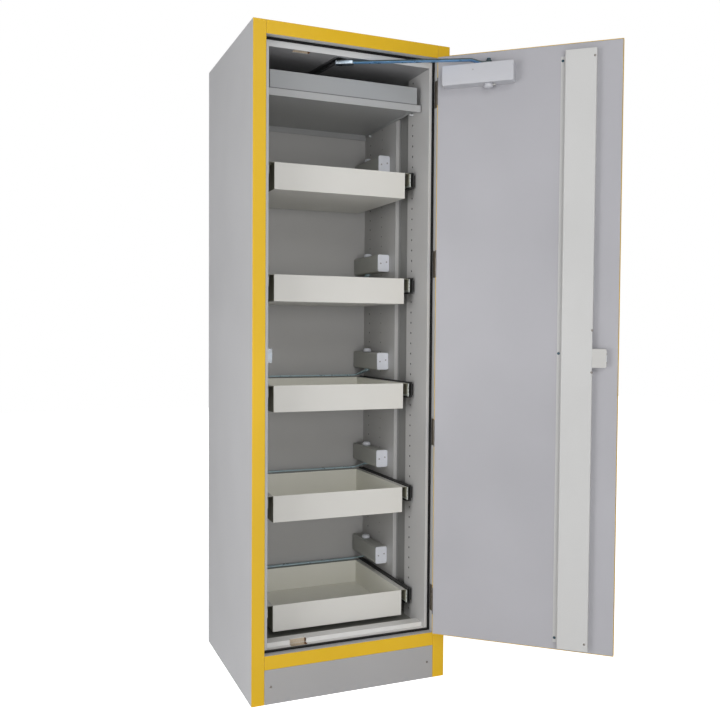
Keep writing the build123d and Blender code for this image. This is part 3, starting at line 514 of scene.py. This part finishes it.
def object_axes(tree):
    """The x, y and z of the place on the object, and the distance of x from the middle."""
    place = axes_of(tree, object_place(tree))
    return (*place, maths(tree, "ABSOLUTE", place["X"]))


def lining_paint(tree):
    """Grey; the groove is painted darker as the shade in it, and the walls of the punched holes are painted
    nearly black as the shade inside the holes.
    """
    _, y, _, out = object_axes(tree)
    in_front = maths(tree, "LESS_THAN", y, groove_front)
    in_rear = maths(tree, "GREATER_THAN", y, groove_back)
    stretch = maths(tree, "ADD", in_front, in_rear)
    face = ranged(tree, in_front, 0.0, 1.0, rear_wall + hole_wall_past, front_wall + hole_wall_past)
    hole_shade_mask = maths(tree, "MULTIPLY", stretch, maths(tree, "GREATER_THAN", out, face))
    deep = maths(tree, "GREATER_THAN", out, groove_past)
    groove = maths(tree, "MULTIPLY", maths(tree, "SUBTRACT", 1.0, stretch), deep)
    return blended(tree, hole_shade_mask, blended(tree, groove, lining_grey, groove_shade_grey), hole_shade)


def floor_light_and_shade(tree):
    """Painted light and shade: the floor behind the lip, under the drawers, is painted dark as the shade
    there, and the low box lip at the sill is painted paler than the lining as painted light.
    """
    # Painted shade behind the lip, painted light on the lip.
    behind = maths(tree, "GREATER_THAN", object_axes(tree)[1], lip_back_y)
    return blended(tree, behind, (0.74, 0.735, 0.72), (0.24, 0.24, 0.22))


lining_coat = coated("lining_coat", lining_grey, 0.40, drift=0.04, worn=0.3)
punched_coat = coated("punched_lining_coat", lining_grey, 0.40, drift=0.04, worn=0.0, painted=lining_paint)
# The ceiling is given a much darker grey than the lining, as painted shade up under the shelf.
ceiling_coat = coated("ceiling_coat", (0.30, 0.30, 0.31), 0.45, drift=0.04, worn=0.3)
floor_coat = coated("cabinet_floor_coat", lining_grey, 0.40, drift=0.04, worn=0.3, painted=floor_light_and_shade)
dress(["liner_back"], lining_coat, fold=0.0008)
dress(["floor_panel"], floor_coat, fold=0.0008)
dress(["ceiling_panel"], ceiling_coat, fold=0.0008)

# Each column of holes: its place along the wall, the wall's distance from the middle, the radius.
hole_columns = ((-0.137, front_wall, 0.0033), (0.090, rear_wall, 0.0022), (0.190, rear_wall, 0.0030))
hole_first, hole_pitch, hole_count, drill_reach = 0.1772, 0.0332, 52, 0.004


def drilled(name, hand):
    """A merged copy of a liner with round holes cut through it: a turned drill of twelve sides stands
    across the sheet at every height of every column."""
    solid = node[name].data.copy()
    work = bmesh.new()
    work.from_mesh(solid)
    bmesh.ops.remove_doubles(work, verts=work.verts, dist=weld_gap)
    work.to_mesh(solid)
    work.free()
    body = bpy.data.objects.new(name + "_punched", solid)
    bpy.context.scene.collection.objects.link(body)
    heights = hole_first + hole_pitch * np.arange(hole_count)
    drills = [
        turned(
            [(radius, -drill_reach), (radius, drill_reach)],
            (hand * (wall + half_sheet), y, z), (1, 0, 0), 12,
        )
        for y, wall, radius in hole_columns
        for z in heights.tolist()
    ]
    points, faces = joined(*drills)
    drill_mesh = bpy.data.meshes.new("drills")
    drill_mesh.from_pydata(points.tolist(), [], faces)
    drill = bpy.data.objects.new("drills", drill_mesh)
    bpy.context.scene.collection.objects.link(drill)
    cut = body.modifiers.new("cut", "BOOLEAN")
    cut.object, cut.operation, cut.solver = drill, "DIFFERENCE", "EXACT"
    shaped = bpy.data.meshes.new_from_object(body.evaluated_get(bpy.context.evaluated_depsgraph_get()))
    body.modifiers.clear()
    body.data = shaped
    shaped.name = name + "_punched"
    bpy.data.objects.remove(drill)
    shaped.materials.clear()
    shaped.materials.append(punched_coat)
    fold = body.modifiers.new("fold", "BEVEL")
    fold.width, fold.segments, fold.limit_method = 0.0006, 2, "ANGLE"
    fold.angle_limit = math.radians(60)
    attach(body, "cabinet")
    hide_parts(name)


drilled("liner_left", -1)
drilled("liner_right", 1)


def fibre_board(name, fibre_colour, rough_low, rough_high, ior=1.5):
    """Pressed board: short fibres lie in all directions of the sheet, and fibre_colour paints them."""
    material, tree, shader = new_material(name, IOR=ior)
    fibres = noise_on(tree, object_place(tree), 260.0, 4.0, (1.0, 1.0, 3.0))
    tree.links.new(fibre_colour(tree, fibres), shader.inputs["Base Color"])
    tree.links.new(ranged(tree, fibres, 0.3, 0.7, rough_low, rough_high), shader.inputs["Roughness"])
    raised(tree, shader, fibres, 0.0005)
    return material


# The dark brown round the pockets is painted shade on their walls.
pocket_x, rim_from = -0.1545, 0.0225


def pocket_colour(tree, fibres):
    """Pale brown board; farther than rim_from from the pocket's middle it is painted dark brown, as the shade
    on the pocket's walls.
    """
    off_middle = maths(tree, "ABSOLUTE", maths(tree, "SUBTRACT", object_axes(tree)[0], pocket_x))
    shaded_rim = maths(tree, "GREATER_THAN", off_middle, rim_from)
    thread = ranged(tree, fibres, 0.3, 0.7, 0.0, 1.0)
    pale = blended(tree, thread, (0.52, 0.42, 0.31), (0.66, 0.57, 0.45))
    brown = blended(tree, thread, (0.20, 0.11, 0.06), (0.30, 0.18, 0.10))
    return blended(tree, shaded_rim, pale, brown)


def dark_shade_mineral_colour(tree, fibres):
    """Dark grey fibres, mottled over a few centimetres; the dark grey is painted shade, for the holes in the
    liners.
    """
    mottle = ranged(tree, noise_on(tree, object_place(tree), 30.0, 3.0), 0.3, 0.7, 0.8, 1.2)
    thread = ranged(tree, maths(tree, "MULTIPLY", fibres, mottle), 0.3, 0.7, 0.0, 1.0)
    return blended(tree, thread, (0.060, 0.056, 0.050), (0.10, 0.096, 0.088))


pressed_board = fibre_board("pressed_board", pocket_colour, 0.75, 0.9, ior=1.45)
# The board is painted dark grey as the shade seen through the liners' holes.
mineral_board = fibre_board("mineral_board", dark_shade_mineral_colour, 0.85, 0.95)
dress(["strike_pockets"], pressed_board, fold=0)
dress(["insulation_boards", "door_core"], mineral_board, fold=0)

# ---- shelf with its flat tray --------------------------------------------------------------
# One folded shelf rests on four studs that plug into the liners' holes; a low coated tray lies on it.
# The dark line at the tray's foot is painted shade.
shelf_tray_grey, seam_shade = (0.345, 0.355, 0.365), (0.12, 0.12, 0.125)
tray_foot_z, seam_shade_top_z = 1.7855, 1.788


def shelf_tray_seam_shade(tree):
    """Grey, with a dark line painted where the tray stands on the shelf, as painted shade in the seam."""
    unshaded = ranged(tree, object_axes(tree)[2], tray_foot_z, seam_shade_top_z, 0.0, 1.0)
    return blended(tree, unshaded, seam_shade, shelf_tray_grey)


shelf_coat = coated("shelf_coat", (0.40, 0.405, 0.41), 0.40, worn=0.35, dust=0.16)
shelf_tray_coat = coated(
    "shelf_tray_coat", shelf_tray_grey, 0.40, worn=0.3, dust=0.16, painted=shelf_tray_seam_shade
)
dress(["top_shelf"], shelf_coat, fold=0.0009)
dress(["shelf_tray"], shelf_tray_coat, fold=0.0015)
stud_plastic, tree, shader = new_material("stud_plastic", IOR=1.46)
spots = object_place(tree)
cloudy = ranged(tree, noise_on(tree, spots, 120.0, 3.0), 0.35, 0.65, 0.0, 1.0)
stud_colour = blended(tree, cloudy, (0.60, 0.61, 0.62), (0.68, 0.69, 0.70))
stud_dust = use_effect(tree, settled_dust, Colour=stud_colour, Amount=0.1)
tree.links.new(stud_dust["Colour"], shader.inputs["Base Color"])
tree.links.new(ranged(tree, cloudy, 0.0, 1.0, 0.34, 0.44), shader.inputs["Roughness"])
raised(tree, shader, noise_on(tree, spots, 700.0, 1.0), 0.00008)
stud_hole, shelf_end_x, stud_under_shelf = 48, 0.249, 0.006
stud_z = hole_first + stud_hole * hole_pitch
stud_foot = [(0.0021, -0.0012), (0.0021, 0.0), (0.004, 0.0), (0.004, 0.0011), (0.0036, 0.0015)]
studs = []
for hand in (-1, 1):
    for y, wall, _ in (hole_columns[0], hole_columns[2]):
        length = wall - shelf_end_x + stud_under_shelf
        stud_tip = [(0.0036, length - 0.001), (0.0030, length), (0.0012, length)]
        studs.append(turned(stud_foot + stud_tip, (hand * wall, y, stud_z), (-hand, 0, 0), 20))
make_piece("shelf_stud_set", joined(*studs), "cabinet", stud_plastic, ["shelf_studs"])

# ---- drawers -------------------------------------------------------------------------------
# Five trays folded from sheet steel and coated cream white. A flange along each side carries the
# bright inner member of a runner, and a channel across the back guides the roller of the closer.
drawer_count, first_top, drawer_pitch = 5, 0.250, 0.332
drawer_tops = [first_top + drawer_pitch * i for i in range(drawer_count)]
drawer_numbers = range(1, drawer_count + 1)
inside_edge, wall_edge, member_edge = 0.2127, 0.2137, 0.2306
front_inner_y, guide_edge = -0.1687, 0.2141
# The lighter cream inside the trays is painted light, and the dark colour on their outer walls and under the
# flanges is painted shade.
cream, cream_lit_inside, outer_wall_shade = (0.70, 0.69, 0.655), (0.88, 0.87, 0.79), (0.24, 0.235, 0.18)
guide_grey, member_grey = (0.33, 0.37, 0.35), (0.50, 0.53, 0.50)


def tray_paint(tree):
    """Cream white in front, and painted lighter inside as painted light; painted dark khaki on the outer
    walls and under the flanges as painted shade; pale grey on the runners' inner members; green-grey on the
    guide channel behind."""
    _, y, _, out = object_axes(tree)
    up = axes_of(tree, normal_of(tree, "True Normal"))["Z"]
    level_top = maths(tree, "GREATER_THAN", up, 0.5)
    wall = maths(tree, "SUBTRACT", maths(tree, "GREATER_THAN", out, wall_edge), level_top)
    between_walls = maths(tree, "LESS_THAN", out, inside_edge)
    behind_front = maths(tree, "GREATER_THAN", y, front_inner_y)
    inside = maths(tree, "MULTIPLY", between_walls, behind_front)
    not_under = maths(tree, "GREATER_THAN", up, -0.5)
    colour = blended(tree, maths(tree, "MULTIPLY", inside, not_under), cream, cream_lit_inside)
    colour = blended(tree, maths(tree, "GREATER_THAN", y, guide_edge), colour, guide_grey)
    colour = blended(tree, maths(tree, "MAXIMUM", wall, 0.0), colour, outer_wall_shade)
    return blended(tree, maths(tree, "GREATER_THAN", out, member_edge), colour, member_grey)


tray_coat = coated("cream_white_coat", cream, 0.38, drift=0.025, worn=0.3, dust=0.08, painted=tray_paint)
dress([f"drawer_{n}_tray" for n in drawer_numbers], tray_coat, fold=0.0008)

# ---- runners -------------------------------------------------------------------------------
# Full-extension runners of rolled steel: a black fixed channel hooked into the liner, and a black
# middle channel that goes half way with the drawer. Two domed rivets sit at the front end of each
# bright inner member.
runner_black = coated(
    "runner_black_coat", (0.009, 0.009, 0.009), 0.5, drift=0.06, peel=700.0, worn=0.12, dust=0.03
)
middle_members = [f"drawer_{n}_middle_members" for n in drawer_numbers]
dress(["runner_cabinet_members", *middle_members], runner_black, fold=0.0003)
rivet_x, rivet_y, rivet_drop, rivet_apart = 0.2331, -0.1682, 0.022, 0.006
for number, top in zip(drawer_numbers, drawer_tops):
    rivets = [
        screw((hand * rivet_x, rivet_y, top - rivet_drop + lift), forwards, 0.0016, 0.0006)
        for hand in (-1, 1) for lift in (-rivet_apart, rivet_apart)
    ]
    make_piece(f"drawer_{number}_member_rivets", joined(*rivets), f"drawer_{number}", dark_screw)

# ---- drawer closers ------------------------------------------------------------------------
# Above each drawer a damper pulls it shut: a grey cast housing with a white end cap, two dark screws
# and a white adjusting knob, and below it a flat bent arm whose roller runs in the tray's guide.
closer_grey = coated("closer_grey_coat", (0.38, 0.385, 0.365), 0.45, peel=650.0, worn=0.4)
closer_white = coated("closer_white_coat", (0.52, 0.525, 0.56), 0.36, peel=650.0, worn=0.25)
closer_cap = coated("closer_cap_coat", (0.80, 0.82, 0.88), 0.40, peel=650.0, worn=0.1)
closer_arm_zinc = plated("closer_arm_zinc", (0.40, 0.54, 0.62), (0.46, 0.60, 0.64), metal=0.3)
sideways, upwards = (1, 0, 0), (0, 0, 1)
to_front = (sideways, upwards, forwards)
closer_x, pivot_y, closer_back_y, cap_y = 0.2295, 0.160, 0.236, 0.024
closer_face, closer_length, cap_depth = (0.041, 0.058), 0.208, 0.004
middle_lift, knob_lift = 0.063, 0.092
knob_profile = [
    (0.0118, 0.0), (0.0132, 0.0012), (0.0140, 0.0040), (0.0138, 0.0066), (0.0128, 0.0093),
    (0.0108, 0.0114), (0.0078, 0.0127), (0.0042, 0.0130), (0.0034, 0.0122), (0.0008, 0.0121),
]
housings, caps, cap_screws, knobs = [], [], [], []
for top in drawer_tops:
    middle_z = top + middle_lift
    housing_foot, cap_foot = (closer_x, closer_back_y, middle_z), (closer_x, cap_y + cap_depth, middle_z)
    housings.append(pillow(*closer_face, 0.005, closer_length, 0.0008, housing_foot, *to_front))
    caps.append(pillow(*closer_face, 0.0055, cap_depth, 0.0016, cap_foot, *to_front))
    for aside, lift in ((-0.0105, -0.001), (0.0105, 0.004)):
        screw_foot = (closer_x + aside, cap_y + 0.0006, middle_z + lift)
        cap_screws.append(screw(screw_foot, forwards, 0.0034, 0.0008))
    knobs.append(turned(knob_profile, (closer_x, pivot_y, top + knob_lift), upwards, 36))
for name, shapes, material, slot, stands_for in (
    ("drawer_closer_housings", housings, closer_grey, "closer_grey", ["drawer_closer_bodies"]),
    ("drawer_closer_end_caps", caps, closer_cap, "closer_white", ["drawer_closer_caps"]),
    ("drawer_closer_cap_screws", cap_screws, dark_screw, "zinc", ()),
    ("drawer_closer_turning_knobs", knobs, closer_cap, "closer_white", ["drawer_closer_knobs"]),
):
    make_piece(name, joined(*shapes), "cabinet", material, stands_for)


def bent(points, ease, steps=7):
    """The line through the points; each inner corner gives way to a parabola that leaves and meets
    the straight lines at the distance ease from it."""
    points = np.asarray(points, float)
    t = np.linspace(0, 1, steps)[:, None]
    line = [points[:1]]
    for before, corner, after in zip(points, points[1:], points[2:]):
        start = corner + ease * (before - corner) / np.linalg.norm(before - corner)
        end = corner + ease * (after - corner) / np.linalg.norm(after - corner)
        line.append((1 - t) ** 2 * start + 2 * t * (1 - t) * corner + t**2 * end)
    return np.concatenate([*line, points[-1:]])


def flat_bar(path, width, thickness, edge=0.0007):
    """A flat bar along a path: a rounded rectangle with its width level and square to the path. At
    both ends the width shrinks along a half circle."""
    curve = np.linspace(0.2, np.pi / 2, 7)[:, None]
    first, last = path[1] - path[0], path[-2] - path[-1]
    near = path[0] + (1 - np.cos(curve)) * width / 2 * first / np.linalg.norm(first)
    far = path[-1] + (1 - np.cos(curve)) * width / 2 * last / np.linalg.norm(last)
    line = np.concatenate([near, path[1:-1], far[::-1]])
    widths = np.concatenate([np.sin(curve), np.ones((len(path) - 2, 1)), np.sin(curve[::-1])])
    ahead = np.gradient(line, axis=0)
    ahead /= np.linalg.norm(ahead, axis=1, keepdims=True)
    side = np.cross((0.0, 0.0, 1.0), ahead)
    side /= np.linalg.norm(side, axis=1, keepdims=True)
    rise = np.cross(ahead, side)
    outline = rounded_outline(width, thickness, edge, 3)
    spread = (outline[:, 0] * widths)[..., None] * side[:, None]
    return skin(line[:, None] + spread + outline[:, 1, None] * rise[:, None])


arm_hub_profile = [(0.0085, 0.0), (0.009, 0.0005), (0.009, 0.007), (0.0085, 0.0075), (0.007, 0.0078)]
roller_profile = [(0.0052, 0.0), (0.006, 0.0006), (0.006, 0.0038), (0.0052, 0.0041)]
arm_end_x, roller_x, arm_bend_x, arm_y = -0.179, -0.171, 0.213, 0.222
for number, top in zip(drawer_numbers, drawer_tops):
    low, high = top + 0.0066, top + 0.028
    path = bent([(arm_end_x, arm_y, low), (arm_bend_x, arm_y, low), (closer_x, pivot_y, high)], 0.016)
    arm_shapes = [
        flat_bar(path, 0.016, 0.004),
        turned(arm_hub_profile, (closer_x, pivot_y, top + 0.026), upwards),
        turned(roller_profile, (roller_x, arm_y, top + 0.0005), upwards),
        screw((roller_x, arm_y, top + 0.0086), upwards, 0.0035, 0.0008),
    ]
    make_piece(
        f"drawer_{number}_bent_arm", joined(*arm_shapes), f"drawer_{number}_arm",
        closer_arm_zinc, [f"drawer_{number}_closer_arm"],
    )

# ---- door: inner panel, lock cover, latch, bolt, rods and keeper ----------------------------
# The open door stands at 138.25 degrees. Its flat inner sheet carries a folded cover over the rods
# of the three-point lock, screwed on through a narrow flange, with the cast latch case at half height.
door_turn = math.radians(138.25)
door_across = np.array([math.cos(door_turn), math.sin(door_turn), 0.0])
door_inwards = np.array([-math.sin(door_turn), math.cos(door_turn), 0.0])
hinge_line = np.array([0.2715, -0.2795, 0.0])
free_side, door_outwards = -door_across, -door_inwards
hinge_gap, latch_z = 0.002, 1.006


def on_door(distance, depth, z):
    """The point at a distance from the door's hinge edge and a depth behind the hinge line."""
    return hinge_line + (hinge_gap + distance) * free_side + depth * door_inwards + np.array([0.0, 0.0, z])


panel_coat = coated("door_inner_coat", (0.415, 0.412, 0.44), 0.38, drift=0.05, worn=0.3, dust=0.04)
cover_coat = coated("lock_cover_coat", (0.57, 0.57, 0.565), 0.36, drift=0.025, worn=0.3, dust=0.05)
case_coat = coated("latch_case_coat", (0.53, 0.525, 0.51), 0.38, peel=800.0, worn=0.3)
dress(["door_inner_panel"], panel_coat)
dress(["lock_cover"], cover_coat, fold=0.0009)
dress(["latch_case"], case_coat, fold=0.0012)
dress(["latch_bolt", "latch_keeper", "lock_rod_top", "lock_rod_bottom"], zinc, fold=0.0004)
blue_steel = plated("blue_passivated_screws", (0.05, 0.10, 0.13), (0.03, 0.07, 0.10), dust=0.0, metal=0.5)
inner_face, cover_face = 0.0205, 0.0465
flange_t, flange_zs = 0.371, (0.180, 1.018, 1.8605)
flange_screws = [
    screw(on_door(flange_t, inner_face + 0.0012, z), door_inwards, 0.0042, 0.0014) for z in flange_zs
]
cover_places = ((0.458, 0.179), (0.4662, 0.9655), (0.4662, 1.0855), (0.4624, 1.8606))
cover_screws = [
    screw(on_door(t, cover_face - 0.0002, z), door_inwards, 0.0034, 0.0008) for t, z in cover_places
]
case_end_t, case_screw_lift = 0.5069, 0.0125
case_screws = [
    screw(on_door(case_end_t, inner_face + 0.017, latch_z + lift), free_side, 0.0024, 0.0010)
    for lift in (-case_screw_lift, case_screw_lift)
]
make_piece("cover_flange_screws", joined(*flange_screws), "door", blue_steel)
make_piece("cover_face_screws", joined(*cover_screws), "door", dark_screw)
make_piece("latch_case_screws", joined(*case_screws), "door", dark_screw)

# ---- handle on the outer face --------------------------------------------------------------
# A black moulded plate with rounded ends, and a lever that turns on a waisted neck.
handle_plastic, tree, shader = new_material("handle_black_plastic", IOR=1.46)
spots = object_place(tree)
spark = noise_on(tree, spots, 1500.0, 2.0)
smooth = ranged(tree, noise_on(tree, spots, 18.0, 3.0), 0.35, 0.65, 0.0, 1.0)
moulded = blended(tree, smooth, (0.014, 0.014, 0.015), (0.026, 0.026, 0.027))
grip = use_effect(tree, edge_wear, Colour=moulded, Colour_worn=(0.06, 0.06, 0.06), Amount=0.6)
tree.links.new(grip["Colour"], shader.inputs["Base Color"])
tree.links.new(ranged(tree, smooth, 0.0, 1.0, 0.32, 0.46), shader.inputs["Roughness"])
raised(tree, shader, spark, 0.00008)
handle_t, plate_drop, neck_length, lever_length = 0.424, 0.0192, 0.030, 0.125
plate_middle = on_door(handle_t, 0.0005, latch_z - plate_drop)
plate = pillow(0.038, 0.160, 0.0188, 0.009, 0.0035, plate_middle, free_side, upwards, door_outwards)
make_piece("handle_back_plate", plate, "door", handle_plastic, ["handle_plate"])
neck_profile = [
    (0.009, 0.0), (0.0086, 0.002), (0.0075, 0.008), (0.0075, 0.018), (0.0088, 0.025), (0.009, neck_length),
]
neck = turned(neck_profile, on_door(handle_t, -0.0090, latch_z), door_outwards)
lever_middle = on_door(handle_t - lever_length / 2, -0.0350, latch_z)
lever_frame = (lever_middle, free_side, upwards, door_outwards)
lever = pillow(lever_length, 0.018, 0.0075, 0.013, 0.0055, *lever_frame, both=True)
make_piece("handle_lever", joined(neck, lever), "handle", handle_plastic, ["door_handle"])

# ---- door closer, its arm and the ceiling track ---------------------------------------------
# The same damper on the door: a white housing with soft corners and a round knob below. Its flat
# steel arm lies low at the hub, rises beside it, and ends in a bright clip under the ceiling slot.
closer_t, closer_depth, closer_low, closer_high = 0.130, 0.041, 1.809, 1.867
door_closer_length, shaft_t, dimple_t, dimple_z, pointer_reach = 0.212, 0.160, 0.117, 1.849, 0.017
body_shape = pillow(
    door_closer_length, closer_high - closer_low, 0.004, closer_depth, 0.0016,
    on_door(closer_t, inner_face, (closer_low + closer_high) / 2), free_side, upwards, door_inwards,
)
shaft_foot = on_door(shaft_t, inner_face + closer_depth / 2, 0.0)
dimple_foot = on_door(dimple_t, inner_face + closer_depth - 0.0004, dimple_z)
dimple = screw(dimple_foot, door_inwards, 0.0027, 0.0005)
make_piece("door_closer_housing", body_shape, "door", closer_white, ["door_closer_body"])
make_piece("door_closer_screw", dimple, "door", dark_screw)
turn_knob = turned(knob_profile, shaft_foot + (0, 0, closer_low), (0, 0, -1), 36)
pointer_foot = on_door(shaft_t + pointer_reach, inner_face + closer_depth / 2, closer_low - 0.0045)
pointer = pillow(0.009, 0.0035, 0.0012, 0.005, 0.001, pointer_foot, free_side, upwards, door_inwards)
make_piece("door_closer_knob_pointer", pointer, "door", case_coat)
make_piece("door_closer_turning_knob", turn_knob, "door", closer_white, ["door_closer_knob"])

arm_tip = np.array([-0.0339, -0.2083, 0.0])
arm_run = arm_tip - shaft_foot
arm_length = float(np.linalg.norm(arm_run))
arm_ahead = arm_run / arm_length


def on_arm(distance, z):
    """The point at a distance from the arm's shaft towards its tip."""
    return shaft_foot + distance * arm_ahead + np.array([0.0, 0.0, z])


blue_zinc, tree, shader = new_material("blue_passivated_arm", IOR=1.6, Metallic=0.35)
# The arm's upright faces are painted near black as a painted reflection of the dark studio; its flat faces
# show the blue plating.
upright = maths(tree, "ABSOLUTE", axes_of(tree, normal_of(tree))["Z"])
flat_side = ranged(tree, upright, 0.35, 0.8, 0.0, 1.0)
arm_blue, arm_blue_cloud, arm_edge_reflection = (0.17, 0.42, 0.78), (0.24, 0.52, 0.86), (0.035, 0.055, 0.06)
plating = use_effect(tree, zinc_plating, Colour=arm_blue, Colour_cloud=arm_blue_cloud, Lines=1.0)
dark_edge_reflection = blended(tree, flat_side, arm_edge_reflection, plating["Colour"])
tree.links.new(dark_edge_reflection, shader.inputs["Base Color"])
tree.links.new(plating["Roughness"], shader.inputs["Roughness"])
raised(tree, shader, plating["Height"], 0.0001)
low_z, bar_z, hub_z, pin_z, clip_z = 1.8700, 1.8795, 1.8718, 1.8826, 1.8725
arm_points = [on_arm(-0.0125, low_z), on_arm(0.022, low_z), on_arm(0.050, bar_z), on_arm(arm_length, bar_z)]
door_hub_profile = [
    (0.0085, 0.0), (0.0085, 0.005), (0.0078, 0.0062), (0.0060, 0.0064), (0.0060, 0.0110), (0.0050, 0.0120),
]
arm_shapes = [
    flat_bar(bent(arm_points, 0.008), 0.022, 0.0045),
    turned(door_hub_profile, shaft_foot + (0, 0, hub_z), upwards),
    turned([(0.007, 0.0), (0.007, 0.006)], shaft_foot + (0, 0, closer_high), upwards),
    turned([(0.004, 0.0), (0.004, 0.0035)], arm_tip + (0, 0, pin_z), upwards),
]
make_piece(
    "door_closer_flat_arm", joined(*arm_shapes), "closer_arm", blue_zinc, ["door_closer_arm"]
)
clip_middle = on_arm(arm_length - 0.024, clip_z)
clip_side = np.cross((0.0, 0.0, 1.0), arm_ahead)
clip = pillow(0.056, 0.026, 0.006, 0.011, 0.002, clip_middle, arm_ahead, clip_side, upwards, both=True)
bright_zinc = plated("clip_bright_zinc", (0.72, 0.78, 0.84), (0.55, 0.66, 0.76))
make_piece("door_closer_arm_clip", clip, "closer_arm", bright_zinc)
track_coat = coated("track_grey_coat", (0.10, 0.10, 0.105), 0.5)
dress(["closer_track"], track_coat, fold=0)
dress(["closer_slider"], handle_plastic, fold=0.0006)

# ---- hinges --------------------------------------------------------------------------------
# Four dark bronze butt hinges: smooth knuckles on one pin, and leaves screwed to post and door.
bronze = plated("hinge_bronze", (0.20, 0.17, 0.14), (0.15, 0.13, 0.105), dust=0.05, metal=0.4)
hinge_first_z, hinge_pitch, hinge_count = 0.24775, 0.519333, 4
hinge_zs = [hinge_first_z + hinge_pitch * i for i in range(hinge_count)]
hinge_height, leaf_sheet, leaf_middle, leaf_screw_y = 0.082, 0.0015, 0.0135, 0.014
hinge_third = hinge_height / 3
leaf = (0.019, hinge_height, 0.0015, leaf_sheet, 0.0003)
knuckle = [
    (0.0029, 0.0), (0.0035, 0.0006), (0.0035, hinge_third - 0.0009), (0.0029, hinge_third - 0.0003),
]
post_side, door_side = [], []
for z in hinge_zs:
    for lift in (-1.5, 0.5):
        post_side.append(turned(knuckle, hinge_line + (0, 0, z + lift * hinge_third), upwards, 28))
    door_side.append(turned(knuckle, hinge_line + (0, 0, z - hinge_third / 2), upwards, 28))
    post_foot, door_foot = hinge_line + (leaf_sheet, leaf_middle, z), on_door(leaf_sheet, leaf_middle, z)
    post_side.append(pillow(*leaf, post_foot, (0, 1, 0), upwards, (-1, 0, 0)))
    door_side.append(pillow(*leaf, door_foot, door_inwards, upwards, door_across))
    for lift in (-0.028, 0.0, 0.028):
        post_place = hinge_line + (0.0001, leaf_screw_y, z + lift)
        post_side.append(screw(post_place, (-1, 0, 0), 0.0032, 0.0005))
        door_side.append(screw(on_door(0.0001, leaf_screw_y, z + lift), door_across, 0.0032, 0.0005))
make_piece("hinge_post_leaves", joined(*post_side), "cabinet", bronze, ["hinge_frame_leaves"])
make_piece("hinge_leaf_on_door", joined(*door_side), "door", bronze, ["hinge_door_leaves"])
